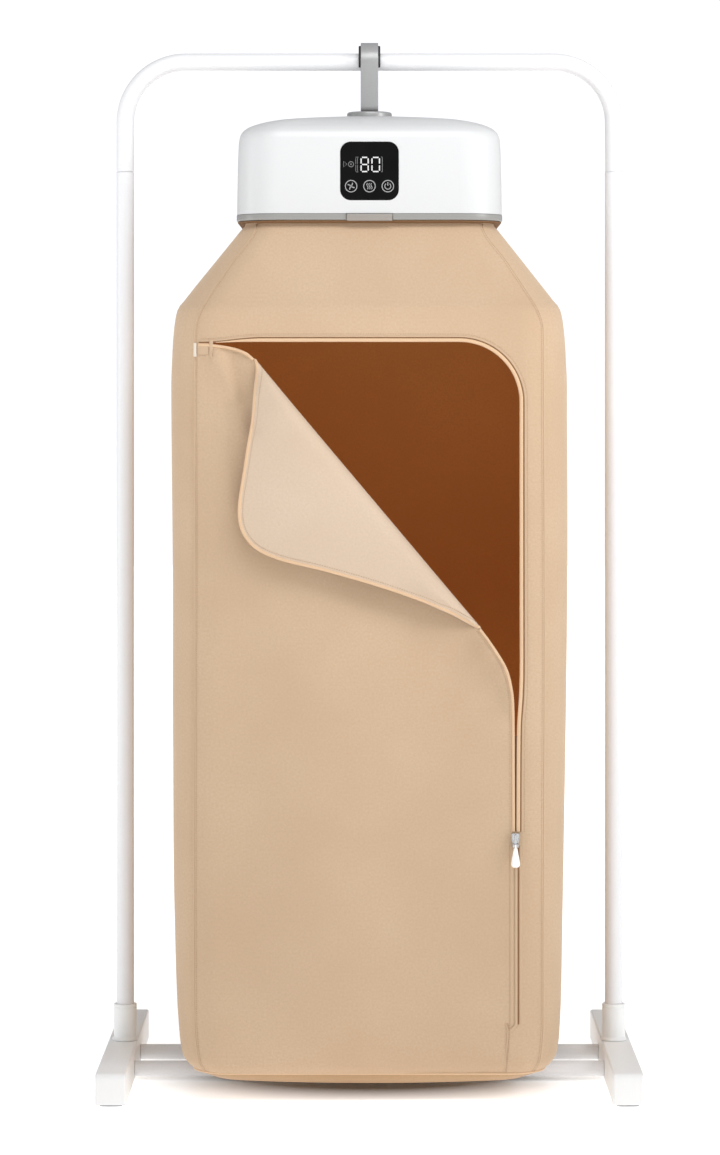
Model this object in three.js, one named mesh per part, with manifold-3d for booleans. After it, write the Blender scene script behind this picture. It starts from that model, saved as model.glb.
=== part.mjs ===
// Free-standing fabric clothes dryer: a blower head that hangs by a hook from a tubular stand,
// with a zipped cloth cabinet below the head.
// Millimetres, +Z up, origin on the floor under the middle of the stand. The front faces -Y.
import * as THREE from "three";
import { mergeVertices } from "three/addons/utils/BufferGeometryUtils.js";
import Module from "manifold-3d";

const wasm = await Module();
wasm.setup();

// Driving sizes
const railHeight = 1443; // centre of the top rail above the floor
const tubeDiameter = 25; // posts and rail
const coverWidth = 563; // cloth cabinet at its widest
const coverDepth = 470;
const headWidth = 372;
const headDepth = 300;
const headHeight = 143;
const footLength = 524;

// Clearances and walls shared by many pieces
const fit = 0.3; // gap between pieces that seat on each other
const overrun = 5; // how far every cut runs past the face it opens
const tubeWall = 1.2;
const housingWall = 3;
const cloth = 2; // fabric with its lining and seam allowance
const tubeSides = 12;
const fineSides = 20;
const pinSides = 8;
const weldGap = 1e-4; // corners closer than this are one corner

// Geometry helpers
function solidFrom(geometry) {
  const bare = new THREE.BufferGeometry();
  bare.setAttribute("position", geometry.getAttribute("position"));
  if (geometry.index) bare.setIndex(geometry.index);
  const merged = mergeVertices(bare, weldGap);
  const triVerts = new Uint32Array(merged.index.array);
  const vertProperties = new Float32Array(merged.attributes.position.array);
  return new wasm.Manifold(new wasm.Mesh({ numProp: 3, vertProperties, triVerts }));
}

function geometryFrom(solid) {
  const mesh = solid.getMesh();
  const geometry = new THREE.BufferGeometry();
  const positions = new Float32Array(mesh.numVert * 3);
  for (let i = 0; i < mesh.numVert; i++) {
    for (let k = 0; k < 3; k++) positions[i * 3 + k] = mesh.vertProperties[i * mesh.numProp + k];
  }
  geometry.setAttribute("position", new THREE.BufferAttribute(positions, 3));
  geometry.setIndex(new THREE.BufferAttribute(new Uint32Array(mesh.triVerts), 1));
  geometry.computeVertexNormals();
  return geometry;
}

function joined(first, ...others) {
  return others.reduce((sum, other) => sum.add(other), first);
}

function cut(first, ...others) {
  return others.reduce((sum, other) => sum.subtract(other), first);
}

// A box between two opposite corners
function block(x0, x1, y0, y1, z0, z1) {
  const geometry = new THREE.BoxGeometry(x1 - x0, y1 - y0, z1 - z0);
  geometry.translate((x0 + x1) / 2, (y0 + y1) / 2, (z0 + z1) / 2);
  return solidFrom(geometry);
}

function circle(radius, sides, x = 0, y = 0) {
  const points = [];
  for (let i = 0; i < sides; i++) {
    const angle = (i / sides) * 2 * Math.PI;
    points.push(new THREE.Vector2(x + radius * Math.cos(angle), y + radius * Math.sin(angle)));
  }
  return points;
}

function roundedRect(halfX, halfY, radius, steps = 4) {
  const points = [];
  const quarters = [[1, 1], [-1, 1], [-1, -1], [1, -1]];
  quarters.forEach(([sx, sy], quarter) => {
    for (let i = 0; i <= steps; i++) {
      const angle = (quarter + i / steps) * (Math.PI / 2);
      points.push(new THREE.Vector2(
        sx * (halfX - radius) + radius * Math.cos(angle),
        sy * (halfY - radius) + radius * Math.sin(angle),
      ));
    }
  });
  return points;
}

// An outline in X and Y, drawn up along Z
function plate(outline, z0, z1, holes = []) {
  const shape = new THREE.Shape(outline);
  holes.forEach((hole) => shape.holes.push(new THREE.Path(hole)));
  const geometry = new THREE.ExtrudeGeometry(shape, { depth: z1 - z0, bevelEnabled: false });
  geometry.translate(0, 0, z0);
  return solidFrom(geometry);
}

// An outline in X and Z, drawn along Y
function frontProfile(outline, y0, y1, holes = []) {
  const shape = new THREE.Shape(outline);
  holes.forEach((hole) => shape.holes.push(new THREE.Path(hole)));
  const geometry = new THREE.ExtrudeGeometry(shape, { depth: y1 - y0, bevelEnabled: false });
  geometry.rotateX(Math.PI / 2);
  geometry.translate(0, y1, 0);
  return solidFrom(geometry);
}

// An outline in Y and Z, drawn along X, with its long edges chamfered where a bevel is given
function sideProfile(outline, x0, x1, bevel = 0) {
  const shape = new THREE.Shape(outline);
  const options = { depth: x1 - x0 - 2 * bevel, bevelEnabled: false };
  if (bevel > 0) {
    Object.assign(options, { bevelEnabled: true, bevelSegments: 1, bevelSize: bevel });
    Object.assign(options, { bevelThickness: bevel, bevelOffset: -bevel });
  }
  const geometry = new THREE.ExtrudeGeometry(shape, options);
  geometry.rotateX(Math.PI / 2);
  geometry.rotateZ(Math.PI / 2);
  geometry.translate(x0 + bevel, 0, 0);
  return solidFrom(geometry);
}

// A closed profile of [radius, height] points turned about Z
function turned(profile, sides = fineSides) {
  let area = 0;
  profile.forEach(([r, z], i) => {
    const [nextR, nextZ] = profile[(i + 1) % profile.length];
    area += r * nextZ - nextR * z;
  });
  const ordered = area > 0 ? [...profile] : [...profile].reverse();
  const points = [...ordered, ordered[0]].map(([r, z]) => new THREE.Vector2(r, z));
  const geometry = new THREE.LatheGeometry(points, sides);
  geometry.rotateX(Math.PI / 2);
  return solidFrom(geometry);
}

function rod(radius, z0, z1, sides = fineSides) {
  return plate(circle(radius, sides), z0, z1);
}

function rodAlongY(radius, x, z, y0, y1, sides = fineSides) {
  return frontProfile(circle(radius, sides, x, z), y0, y1);
}

// A path that stops only at the stations it is given, so that straight runs need no extra steps
class StationPath extends THREE.Curve {
  constructor(stations) {
    super();
    this.stations = stations;
  }
  at(u) {
    return this.stations[Math.round(u * (this.stations.length - 1))];
  }
  getPoint(u) {
    return this.at(u).point.clone();
  }
  getPointAt(u) {
    return this.getPoint(u);
  }
  getTangentAt(u) {
    return this.at(u).tangent.clone();
  }
}

function swept(stations, outline, hole) {
  const shape = new THREE.Shape(outline);
  if (hole) shape.holes.push(new THREE.Path(hole));
  const path = new StationPath(stations);
  const steps = stations.length - 1;
  return solidFrom(new THREE.ExtrudeGeometry(shape, { steps, extrudePath: path }));
}

function station(x, y, z, tx, ty, tz) {
  return { point: new THREE.Vector3(x, y, z), tangent: new THREE.Vector3(tx, ty, tz).normalize() };
}

// A crowned or tapered body through outlines at rising heights
function lofted(sections) {
  const count = sections[0].outline.length;
  const positions = [];
  const index = [];
  sections.forEach(({ outline, z }) => outline.forEach((p) => positions.push(p.x, p.y, z)));
  for (let level = 0; level < sections.length - 1; level++) {
    for (let i = 0; i < count; i++) {
      const a = level * count + i;
      const b = level * count + ((i + 1) % count);
      index.push(a, b, b + count, a, b + count, a + count);
    }
  }
  const last = (sections.length - 1) * count;
  for (let i = 1; i < count - 1; i++) {
    index.push(0, i + 1, i, last, last + i, last + i + 1);
  }
  const geometry = new THREE.BufferGeometry();
  geometry.setAttribute("position", new THREE.Float32BufferAttribute(positions, 3));
  geometry.setIndex(index);
  return solidFrom(geometry);
}

// The strip of a given thickness that follows a path of [across, up] points
function strip(path, thickness) {
  const sides = [[], []];
  path.forEach((point, i) => {
    const before = path[Math.max(i - 1, 0)];
    const after = path[Math.min(i + 1, path.length - 1)];
    const dx = after[0] - before[0];
    const dz = after[1] - before[1];
    const length = Math.hypot(dx, dz);
    const nx = (-dz / length) * (thickness / 2);
    const nz = (dx / length) * (thickness / 2);
    sides[0].push(new THREE.Vector2(point[0] + nx, point[1] + nz));
    sides[1].push(new THREE.Vector2(point[0] - nx, point[1] - nz));
  });
  return [...sides[0], ...sides[1].reverse()];
}

function arc(cx, cz, radius, from, to, steps) {
  const points = [];
  for (let i = 0; i <= steps; i++) {
    const angle = THREE.MathUtils.degToRad(from + ((to - from) * i) / steps);
    points.push([cx + radius * Math.cos(angle), cz + radius * Math.sin(angle)]);
  }
  return points;
}

const paints = {
  white: { color: 0xf4f4f2, roughness: 0.4, metalness: 0 },
  grey: { color: 0x9a9b9c, roughness: 0.45, metalness: 0 },
  hookGrey: { color: 0xa6a7a8, roughness: 0.4, metalness: 0.2 },
  rubber: { color: 0x2b2b2c, roughness: 0.85, metalness: 0 },
  steel: { color: 0xb9bbbd, roughness: 0.35, metalness: 1 },
  gloss: { color: 0x08090a, roughness: 0.08, metalness: 0 },
  board: { color: 0x1f5a36, roughness: 0.6, metalness: 0 },
  fabric: { color: 0xddbf9f, roughness: 0.9, metalness: 0 },
  lining: { color: 0xe3c8ac, roughness: 0.9, metalness: 0 },
  zip: { color: 0x6b4a2c, roughness: 0.7, metalness: 0 },
  dark: { color: 0x3a3b3d, roughness: 0.6, metalness: 0 },
};

const dryer = new THREE.Group();

function add(name, solid, paint) {
  const material = new THREE.MeshStandardMaterial(paints[paint]);
  const mesh = new THREE.Mesh(geometryFrom(solid), material);
  mesh.name = name;
  dryer.add(mesh);
}

const sidesOf = [["left", -1], ["right", 1]];
const endsOf = [["front", -1], ["rear", 1]];

// Stand: two feet joined by two low bars, a boot and post on each foot, and the bent top rail
const tubeRadius = tubeDiameter / 2;
const postGap = 55; // widest part of the cover to a post
const postX = coverWidth / 2 + postGap + tubeRadius;
const bendRadius = 86;
const bendSteps = 6;
const jointDrop = 157; // rail centre down to the joint between bow and post
const spigotLength = 45;
const jointZ = railHeight - jointDrop;
const bendZ = railHeight - bendRadius;
const bendX = postX - bendRadius;

function bowStations() {
  const stations = [station(-postX, 0, jointZ, 0, 0, 1)];
  for (let i = 0; i <= bendSteps; i++) {
    const a = (i / bendSteps) * (Math.PI / 2);
    const [c, s] = [Math.cos(a), Math.sin(a)];
    stations.push(station(-bendX - bendRadius * c, 0, bendZ + bendRadius * s, s, 0, c));
  }
  for (let i = bendSteps; i >= 0; i--) {
    const a = (i / bendSteps) * (Math.PI / 2);
    const [c, s] = [Math.cos(a), Math.sin(a)];
    stations.push(station(bendX + bendRadius * c, 0, bendZ + bendRadius * s, s, 0, -c));
  }
  stations.push(station(postX, 0, jointZ, 0, 0, -1));
  return stations;
}
const bowBore = tubeRadius - tubeWall;
add("stand_bow", swept(bowStations(), circle(tubeRadius, tubeSides), circle(bowBore, tubeSides)), "white");

const footWidth = 42;
const footInset = 3; // post centre to foot centre, outward
const padHeight = 3;
const footTop = 46;
const footBottom = padHeight + fit;
const footRound = 8;
const footBevel = 3;
const socketFloor = 14;
const bootHeight = 52;
const bootWall = 3.6;
const bootChamfer = 2;
const bootFlange = 2;
const footCentreX = postX + footInset;
const footInner = footCentreX - footWidth / 2;
const footOuter = footCentreX + footWidth / 2;

const barRadius = 11;
const barZ = 17;
const barY = 65;
const barPlug = 14;
const screwRadius = 2;
const screwHead = 4.5;
const screwHeadDepth = 3;
const screwGrip = 10; // how far a screw reaches into the bar's plug
const pocketWall = 5;
const pocketReach = 200;
const pocketStart = 92;

const postBore = tubeRadius - tubeWall;
const spigotRadius = postBore - fit;
const spigotBore = spigotRadius - tubeWall;
const postBottom = socketFloor + fit;
const postTop = jointZ - fit;
const bootBottom = footTop + fit;

function footOutline() {
  const half = footLength / 2;
  const round = footRound;
  return [
    new THREE.Vector2(-half, footBottom),
    new THREE.Vector2(half, footBottom),
    ...arc(half - round, footTop - round, round, 0, 90, 4).map(([y, z]) => new THREE.Vector2(y, z)),
    ...arc(-half + round, footTop - round, round, 90, 180, 4).map(([y, z]) => new THREE.Vector2(y, z)),
  ];
}

const padLength = 46;
const padWidth = 32;
const padRound = 6;
const padInset = 34; // centre of a pad from the foot's end

sidesOf.forEach(([side, sign]) => {
  const post = turned([
    [tubeRadius, postBottom],
    [tubeRadius, postTop],
    [spigotRadius, postTop],
    [spigotRadius, postTop + spigotLength],
    [spigotBore, postTop + spigotLength],
    [spigotBore, postTop - tubeWall],
    [postBore, postTop - tubeWall * 2],
    [postBore, postBottom],
  ], tubeSides);
  add(`post_${side}`, post.translate([sign * postX, 0, 0]), "white");

  const bootBore = tubeRadius + fit;
  const bootOuter = bootBore + bootWall;
  const bootTop = bootBottom + bootHeight;
  const boot = turned([
    [bootBore, bootBottom],
    [bootOuter + bootFlange, bootBottom],
    [bootOuter + bootFlange, bootBottom + bootFlange],
    [bootOuter, bootBottom + bootFlange * 2],
    [bootOuter, bootTop - bootChamfer],
    [bootOuter - bootChamfer, bootTop],
    [bootBore, bootTop],
  ], fineSides);
  add(`boot_${side}`, boot.translate([sign * postX, 0, 0]), "white");

  const inner = Math.min(sign * footInner, sign * footOuter);
  const outer = Math.max(sign * footInner, sign * footOuter);
  let foot = sideProfile(footOutline(), inner, outer, footBevel);
  const socket = rod(tubeRadius + fit, socketFloor, footTop + overrun);
  foot = foot.subtract(socket.translate([sign * postX, 0, 0]));
  endsOf.forEach(([end, way]) => {
    const near = Math.min(way * pocketStart, way * pocketReach);
    const far = Math.max(way * pocketStart, way * pocketReach);
    foot = foot.subtract(block(
      inner + pocketWall, outer - pocketWall, near, far, footBottom - overrun, footTop - pocketWall,
    ));
    const shankHole = sideProfile(
      circle(screwRadius + fit, tubeSides, way * barY, barZ), inner - overrun, outer + overrun,
    );
    const headStart = sign > 0 ? outer - screwHeadDepth - fit : inner - overrun;
    const headEnd = sign > 0 ? outer + overrun : inner + screwHeadDepth + fit;
    const headHole = sideProfile(circle(screwHead + fit, tubeSides, way * barY, barZ), headStart, headEnd);
    foot = cut(foot, shankHole, headHole);

    const headAt = footOuter - screwHeadDepth;
    const tipAt = footInner - fit - screwGrip;
    const screwSpan = [
      [screwRadius, tipAt, headAt],
      [screwHead, headAt, footOuter],
    ].map(([r, a, b]) => sideProfile(
      circle(r, tubeSides, way * barY, barZ), Math.min(sign * a, sign * b), Math.max(sign * a, sign * b),
    ));
    add(`bar_screw_${end}_${side}`, joined(...screwSpan), "steel");

    const pad = plate(roundedRect(padWidth / 2, padLength / 2, padRound, 3), 0, padHeight);
    const padY = way * (footLength / 2 - padInset);
    add(`pad_${end}_${side}`, pad.translate([sign * footCentreX, padY, 0]), "rubber");
  });
  add(`foot_${side}`, foot, "white");
});

endsOf.forEach(([end, way]) => {
  const reach = footInner - fit;
  const skin = sideProfile(circle(barRadius, tubeSides, way * barY, barZ), -reach, reach);
  const boreOutline = circle(barRadius - tubeWall, tubeSides, way * barY, barZ);
  const bore = sideProfile(boreOutline, -reach + barPlug, reach - barPlug);
  const screwOutline = circle(screwRadius + fit, tubeSides, way * barY, barZ);
  const screws = sideProfile(screwOutline, -reach - overrun, reach + overrun);
  add(`bar_${end}`, cut(skin, bore, screws), "white");
});

// Hook: a bent strap over the rail with a rubber saddle, a round collar, and the swivel stud and nut
const strapWidth = 25;
const strapThick = 4;
const saddleThick = 10.5;
const saddleWidth = 31;
const saddleWrap = 25; // degrees that the saddle runs on below the rail's middle
const collarRadius = 32;
const collarThick = 8;
const studRadius = 5;
const studHeadRadius = 8;
const studHeadThick = 4.5;
const nutRadius = 9;
const nutThick = 8;
const strapTail = 18; // rear leg below the rail's middle
const strapFlare = 4;
const strapBend = 6;
const strapTab = 16; // tab behind the stud

const strapArch = tubeRadius + saddleThick + 2 * fit + strapThick / 2;
const collarRise = 72; // rail centre down to the top face of the collar
const collarTop = railHeight - collarRise;
const headTop = collarTop - collarThick - fit;
const tabZ = collarTop + fit + strapThick / 2;

const strapPath = [
  [strapTab, tabZ],
  ...arc(-strapArch + strapBend, tabZ + strapBend, strapBend, 270, 180, 3),
  ...arc(0, railHeight, strapArch, 180, 0, 10),
  [strapArch, railHeight - strapTail],
  [strapArch + strapFlare, railHeight - strapTail - strapFlare * 2],
];
const strapOutline = strip(strapPath, strapThick);
const tabHole = rod(studRadius + fit, tabZ - overrun, tabZ + overrun);
add("hook_strap", cut(sideProfile(strapOutline, -strapWidth / 2, strapWidth / 2), tabHole), "hookGrey");

const saddleInner = arc(0, railHeight, tubeRadius + fit, 180 + saddleWrap, -saddleWrap, 12);
const saddleOuter = arc(0, railHeight, tubeRadius + fit + saddleThick, -saddleWrap, 180 + saddleWrap, 12);
const saddleOutline = [...saddleInner, ...saddleOuter].map(([y, z]) => new THREE.Vector2(y, z));
add("hook_saddle", sideProfile(saddleOutline, -saddleWidth / 2, saddleWidth / 2), "rubber");

const collarEdge = 2;
const collar = turned([
  [studRadius + fit, headTop + fit],
  [collarRadius, headTop + fit],
  [collarRadius, collarTop - collarEdge],
  [collarRadius - collarEdge, collarTop],
  [studRadius + fit, collarTop],
]);
add("hook_collar", collar, "hookGrey");

const studHeadZ = tabZ + strapThick / 2 + fit;
const nutTop = headTop - housingWall - fit;
const nutBottom = nutTop - nutThick;
const stud = joined(
  rod(studRadius, nutBottom - fit, studHeadZ + fit),
  rod(studHeadRadius, studHeadZ, studHeadZ + studHeadThick),
);
add("swivel_stud", stud, "steel");
const nutSides = 6;
const nut = plate(circle(nutRadius, nutSides), nutBottom, nutTop, [circle(studRadius + fit, fineSides)]);
add("swivel_nut", nut, "steel");

// Head: white top shell on a grey base tray
const headBottom = headTop - headHeight;
const headRound = 60; // corner radius seen from above
const halfHeadX = headWidth / 2;
const halfHeadY = headDepth / 2;

// Shares of the half width, half depth, corner radius and height at rising levels of the shell
const shellShares = [
  [1, 1, 1, 0],
  [0.992, 1, 1, 0.56],
  [0.984, 1, 1, 0.73],
  [0.972, 0.985, 0.96, 0.79],
  [0.935, 0.94, 0.9, 0.845],
  [0.855, 0.85, 0.8, 0.895],
  [0.7, 0.68, 0.6, 0.945],
  [0.46, 0.43, 0.4, 0.98],
  [0.23, 0.27, 0.3, 1],
];

const wallTopShare = 0.75; // above this the wall turns in to the crown

function shellSections(inset, start) {
  return shellShares.map(([shareX, shareY, shareR, shareZ], i) => {
    const z = i === 0 ? start : headBottom + headHeight * shareZ - (shareZ > wallTopShare ? inset : 0);
    const [halfX, halfY] = [halfHeadX * shareX - inset, halfHeadY * shareY - inset];
    return { outline: roundedRect(halfX, halfY, headRound * shareR - inset), z };
  });
}
const shellRim = headBottom + fit;
let shell = cut(lofted(shellSections(0, shellRim)), lofted(shellSections(housingWall, shellRim - overrun)));

const pillarRadius = 8;
const pillarHeight = 40;
const pillarInset = 5; // pillar centre in from the shell's inner corner
const pillarShare = Math.SQRT1_2;
const pillarReach = (headRound - housingWall - pillarInset) * pillarShare;
const pillarX = halfHeadX - headRound + pillarReach;
const pillarY = halfHeadY - headRound + pillarReach;
const corners = [["front_left", -1, -1], ["front_right", 1, -1], ["rear_left", -1, 1], ["rear_right", 1, 1]];
corners.forEach(([, sx, sy]) => {
  const pillar = rod(pillarRadius, shellRim, shellRim + pillarHeight, tubeSides);
  const bore = rod(screwRadius + fit, shellRim - overrun, shellRim + pillarHeight / 2, tubeSides);
  const place = [sx * pillarX, sy * pillarY, 0];
  shell = shell.add(pillar.translate(place)).subtract(bore.translate(place));
});

// Control window in the front, air intake and cord gland in the back, stud hole in the crown
const panelSize = 81;
const panelRound = 14.5;
const panelThick = 2.5;
const panelDrop = 84; // crown down to the panel's middle
const panelZ = headTop - panelDrop;
const intakeWidth = 150;
const intakeHeight = 60;
const intakeRound = 8;
const intakeRise = 60;
const intakeZ = headBottom + intakeRise;
const glandRadius = 7;
const glandFlange = 10;
const glandLip = 3;
const glandX = halfHeadX - headRound - glandFlange - glandLip * 2; // on the flat part of the back
const glandRise = 34;
const glandZ = headBottom + glandRise;

function squareOutline(half, halfTall, round, z) {
  return roundedRect(half, halfTall, round, 3).map((p) => new THREE.Vector2(p.x, p.y + z));
}
const panelHole = squareOutline(panelSize / 2 + fit, panelSize / 2 + fit, panelRound + fit, panelZ);
const intakeHole = squareOutline(intakeWidth / 2 + fit, intakeHeight / 2 + fit, intakeRound + fit, intakeZ);
shell = cut(
  shell,
  frontProfile(panelHole, -halfHeadY - overrun, -halfHeadY + housingWall + overrun),
  frontProfile(intakeHole, halfHeadY - housingWall - overrun, halfHeadY + overrun),
  rodAlongY(glandRadius + fit, glandX, glandZ, halfHeadY - housingWall - overrun, halfHeadY + overrun),
  rod(studRadius + fit, headTop - housingWall - overrun, headTop + overrun),
);
add("head_shell", shell, "white");

// Base tray: the grey rim seen under the shell, with a lip for the cover's neck and an air outlet
const trayThick = 9;
const trayProud = 0.5;
const lipHeight = 9;
const neckInset = 12.5; // cover's neck in from the head's side
const neckRound = 50;
const hoopThick = 3.2;
const outletX = 100;
const outletY = 70;
const outletRound = 2;
const trayTop = headBottom;
const trayBottom = trayTop - trayThick;
const neckX = halfHeadX - neckInset;
const neckY = halfHeadY - neckInset;
const hoopOuterX = neckX - cloth - fit;
const hoopOuterY = neckY - cloth - fit;
const lipX = hoopOuterX - hoopThick - fit;
const lipY = hoopOuterY - hoopThick - fit;
const lipRound = neckRound - cloth - hoopThick - 2 * fit;
const trayOutline = roundedRect(halfHeadX + trayProud, halfHeadY + trayProud, headRound + trayProud);
const outlet = roundedRect(outletX, outletY, outletRound, 1);
let tray = plate(trayOutline, trayBottom, trayTop, [outlet]);
const lipInner = roundedRect(lipX - housingWall, lipY - housingWall, lipRound - housingWall);
const lipOuter = roundedRect(lipX, lipY, lipRound);
tray = tray.add(plate(lipOuter, trayBottom - lipHeight, trayBottom + fit, [lipInner]));

const clipHalf = 32.5;
const clipThick = 5;
const clipProud = 2.5;
const clipHeight = 8;
const clipBack = halfHeadY + trayProud - clipThick + clipProud;
const clipTopZ = trayTop - fit;
tray = tray.subtract(block(
  -clipHalf - fit, clipHalf + fit, -halfHeadY - overrun, -clipBack + fit,
  trayBottom - overrun, trayTop + overrun,
));
corners.forEach(([name, sx, sy]) => {
  const place = [sx * pillarX, sy * pillarY, 0];
  const through = rod(screwRadius + fit, trayBottom - overrun, trayTop + overrun, tubeSides);
  const seat = rod(screwHead + fit, trayBottom - overrun, trayBottom + screwHeadDepth, tubeSides);
  tray = cut(tray, through.translate(place), seat.translate(place));
  const screw = joined(
    rod(screwHead, trayBottom, trayBottom + screwHeadDepth - fit, tubeSides),
    rod(screwRadius, trayBottom, shellRim + screwGrip, tubeSides),
  );
  add(`case_screw_${name}`, screw.translate(place), "steel");
});
const boardPostRadius = 4;
const boardPostHeight = 6;
const boardX = 141;
const boardHalfX = 18;
const boardHalfY = 60;
[-1, 1].forEach((way) => {
  const postY = way * (boardHalfY - boardPostRadius * 2);
  const seat = rod(boardPostRadius, trayTop - fit, trayTop + boardPostHeight, tubeSides);
  tray = tray.add(seat.translate([-boardX, postY, 0]));
});
add("base_tray", tray, "grey");

// Clip in the middle of the tray's front edge that lets the cover's neck hoop go
const clipOutline = roundedRect(clipHalf, clipThick / 2, collarEdge / 2, 1);
const clip = plate(clipOutline, clipTopZ - clipHeight, clipTopZ);
add("neck_clip", clip.translate([0, -clipBack - clipThick / 2, 0]), "grey");

// Control panel with its board, seen as black glass
const panelProud = 0.4;
const panelFront = -halfHeadY - panelProud;
const glassOutline = squareOutline(panelSize / 2, panelSize / 2, panelRound, panelZ);
add("panel_glass", frontProfile(glassOutline, panelFront, panelFront + panelThick), "gloss");
const boardThick = 1.6;
const displayDepth = 6;
const displayHalfX = 20;
const displayHalfZ = 14;
const displayRise = 8;
const boardInset = 4;
const displayFront = panelFront + panelThick + fit;
const boardHalf = panelSize / 2 - boardInset;
const boardSquare = squareOutline(boardHalf, boardHalf, boardInset, panelZ);
const display = joined(
  frontProfile(boardSquare, displayFront + displayDepth, displayFront + displayDepth + boardThick),
  block(
    -displayHalfX, displayHalfX, displayFront, displayFront + displayDepth + fit,
    panelZ + displayRise - displayHalfZ, panelZ + displayRise + displayHalfZ,
  ),
);
add("display_board", display, "board");

const relayX = 8;
const relayY = 14;
const relayZ = 15;
const powerZ = trayTop + boardPostHeight + fit;
const power = joined(
  block(-boardX - boardHalfX, -boardX + boardHalfX, -boardHalfY, boardHalfY, powerZ, powerZ + boardThick),
  block(-boardX - relayX, -boardX + relayX, -relayY * 2, -relayY, powerZ + fit, powerZ + relayZ),
  block(-boardX - relayX, -boardX + relayX, relayY, relayY * 2, powerZ + fit, powerZ + relayZ),
);
add("power_board", power, "board");

// Air path from the top down: motor, impeller in its duct, heater, outlet grille
const slotWidth = 7;
const slotRib = 5;
function slots(halfLong, halfAcross, margin) {
  const pitch = slotWidth + slotRib;
  const count = Math.floor((2 * (halfAcross - margin) + slotRib) / pitch);
  const holes = [];
  for (let i = 0; i < count; i++) {
    const centre = (i - (count - 1) / 2) * pitch;
    const hole = roundedRect(halfLong - margin, slotWidth / 2, slotWidth / 2 - fit, 1);
    holes.push(hole.map((p) => new THREE.Vector2(p.x, p.y + centre)));
  }
  return holes;
}
const grilleThick = 4;
const grilleTop = trayBottom + grilleThick;
const grilleX = outletX - fit;
const grilleY = outletY - fit;
const grilleOutline = roundedRect(grilleX, grilleY, outletRound, 1);
add("outlet_grille", plate(grilleOutline, trayBottom, grilleTop, slots(grilleX, grilleY, slotRib)), "grey");

const frameHeight = 28;
const frameWall = 6;
const frameBottom = grilleTop + fit;
const frameTop = frameBottom + frameHeight;
const frameHole = roundedRect(grilleX - frameWall, grilleY - frameWall, outletRound, 1);
add("heater_frame", plate(grilleOutline, frameBottom, frameTop, [frameHole]), "dark");
const coreX = grilleX - frameWall - fit;
const coreY = grilleY - frameWall - fit;
const coreInset = 3;
const coreHoles = slots(coreX, coreY, slotRib);
const coreOutline = roundedRect(coreX, coreY, outletRound, 1);
add("heater_core", plate(coreOutline, frameBottom + coreInset, frameTop - coreInset, coreHoles), "steel");

const ductRadius = 62;
const ductWall = 3;
const ductHeight = 42;
const ductBottom = frameTop + fit;
const ductTop = ductBottom + ductHeight;
const duct = joined(
  plate(grilleOutline, ductBottom, ductBottom + ductWall, [circle(ductRadius, fineSides)]),
  plate(circle(ductRadius + ductWall, fineSides), ductBottom, ductTop, [circle(ductRadius, fineSides)]),
);
add("fan_duct", duct, "dark");

const shaftRadius = 3;
const bladeCount = 7;
const bladeTip = 57;
const bladeThick = 2;
const bladeTall = 22;
const bladeTilt = Math.PI / 5;
const hubRadius = 18;
const fanRise = 9;
const fanBottom = ductBottom + fanRise;
const fanHeight = 24;
let impeller = rod(hubRadius, fanBottom, fanBottom + fanHeight, fineSides);
for (let i = 0; i < bladeCount; i++) {
  const blade = new THREE.BoxGeometry(bladeTip - hubRadius / 2, bladeThick, bladeTall);
  blade.rotateX(bladeTilt);
  blade.translate(bladeTip - (bladeTip - hubRadius / 2) / 2, 0, fanBottom + fanHeight / 2);
  blade.rotateZ((i / bladeCount) * 2 * Math.PI);
  impeller = impeller.add(solidFrom(blade));
}
impeller = impeller.subtract(rod(shaftRadius + fit, fanBottom - overrun, fanBottom + fanHeight + overrun));
add("fan_impeller", impeller, "dark");

const bracketHalfY = 9;
const bracketThick = 3;
const bracketBottom = ductTop + fit;
const bracketReach = ductRadius + ductWall;
const bracketBore = shaftRadius + 2 * fit;
const bracket = cut(
  block(
    -bracketReach, bracketReach, -bracketHalfY, bracketHalfY,
    bracketBottom, bracketBottom + bracketThick,
  ),
  rod(bracketBore, bracketBottom - overrun, bracketBottom + bracketThick + overrun),
);
add("motor_bracket", bracket, "steel");
const motorRadius = 21;
const motorHeight = 34;
const motorBore = 20;
const motorBottom = bracketBottom + bracketThick + fit;
const motor = cut(
  rod(motorRadius, motorBottom, motorBottom + motorHeight),
  rod(shaftRadius + fit, motorBottom - overrun, motorBottom + motorBore),
);
add("fan_motor", motor, "steel");
add("fan_shaft", rod(shaftRadius, fanBottom, motorBottom + motorBore - fit, tubeSides), "steel");

const intakeOutline = squareOutline(intakeWidth / 2, intakeHeight / 2, intakeRound, intakeZ);
const intakeSlots = slots(intakeWidth / 2, intakeHeight / 2, slotRib)
  .map((hole) => hole.map((p) => new THREE.Vector2(p.x, p.y + intakeZ)));
const intakeInner = halfHeadY - housingWall;
add("intake_grille", frontProfile(intakeOutline, intakeInner, halfHeadY, intakeSlots), "grey");
const filterThick = 4;
const filterFront = intakeInner - fit - filterThick;
add("intake_filter", frontProfile(intakeOutline, filterFront, filterFront + filterThick), "dark");

const gland = joined(
  rodAlongY(glandRadius, glandX, glandZ, intakeInner - fit - glandLip, halfHeadY + fit + glandLip),
  rodAlongY(glandFlange, glandX, glandZ, halfHeadY + fit, halfHeadY + fit + glandLip),
  rodAlongY(glandFlange, glandX, glandZ, intakeInner - fit - glandLip, intakeInner - fit),
);
const leadRadius = 3.5;
const [boreFrom, boreTo] = [intakeInner - overrun * 2, halfHeadY + overrun * 2];
const glandBore = rodAlongY(leadRadius, glandX, glandZ, boreFrom, boreTo, tubeSides);
add("cord_gland", cut(gland, glandBore), "rubber");

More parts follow.
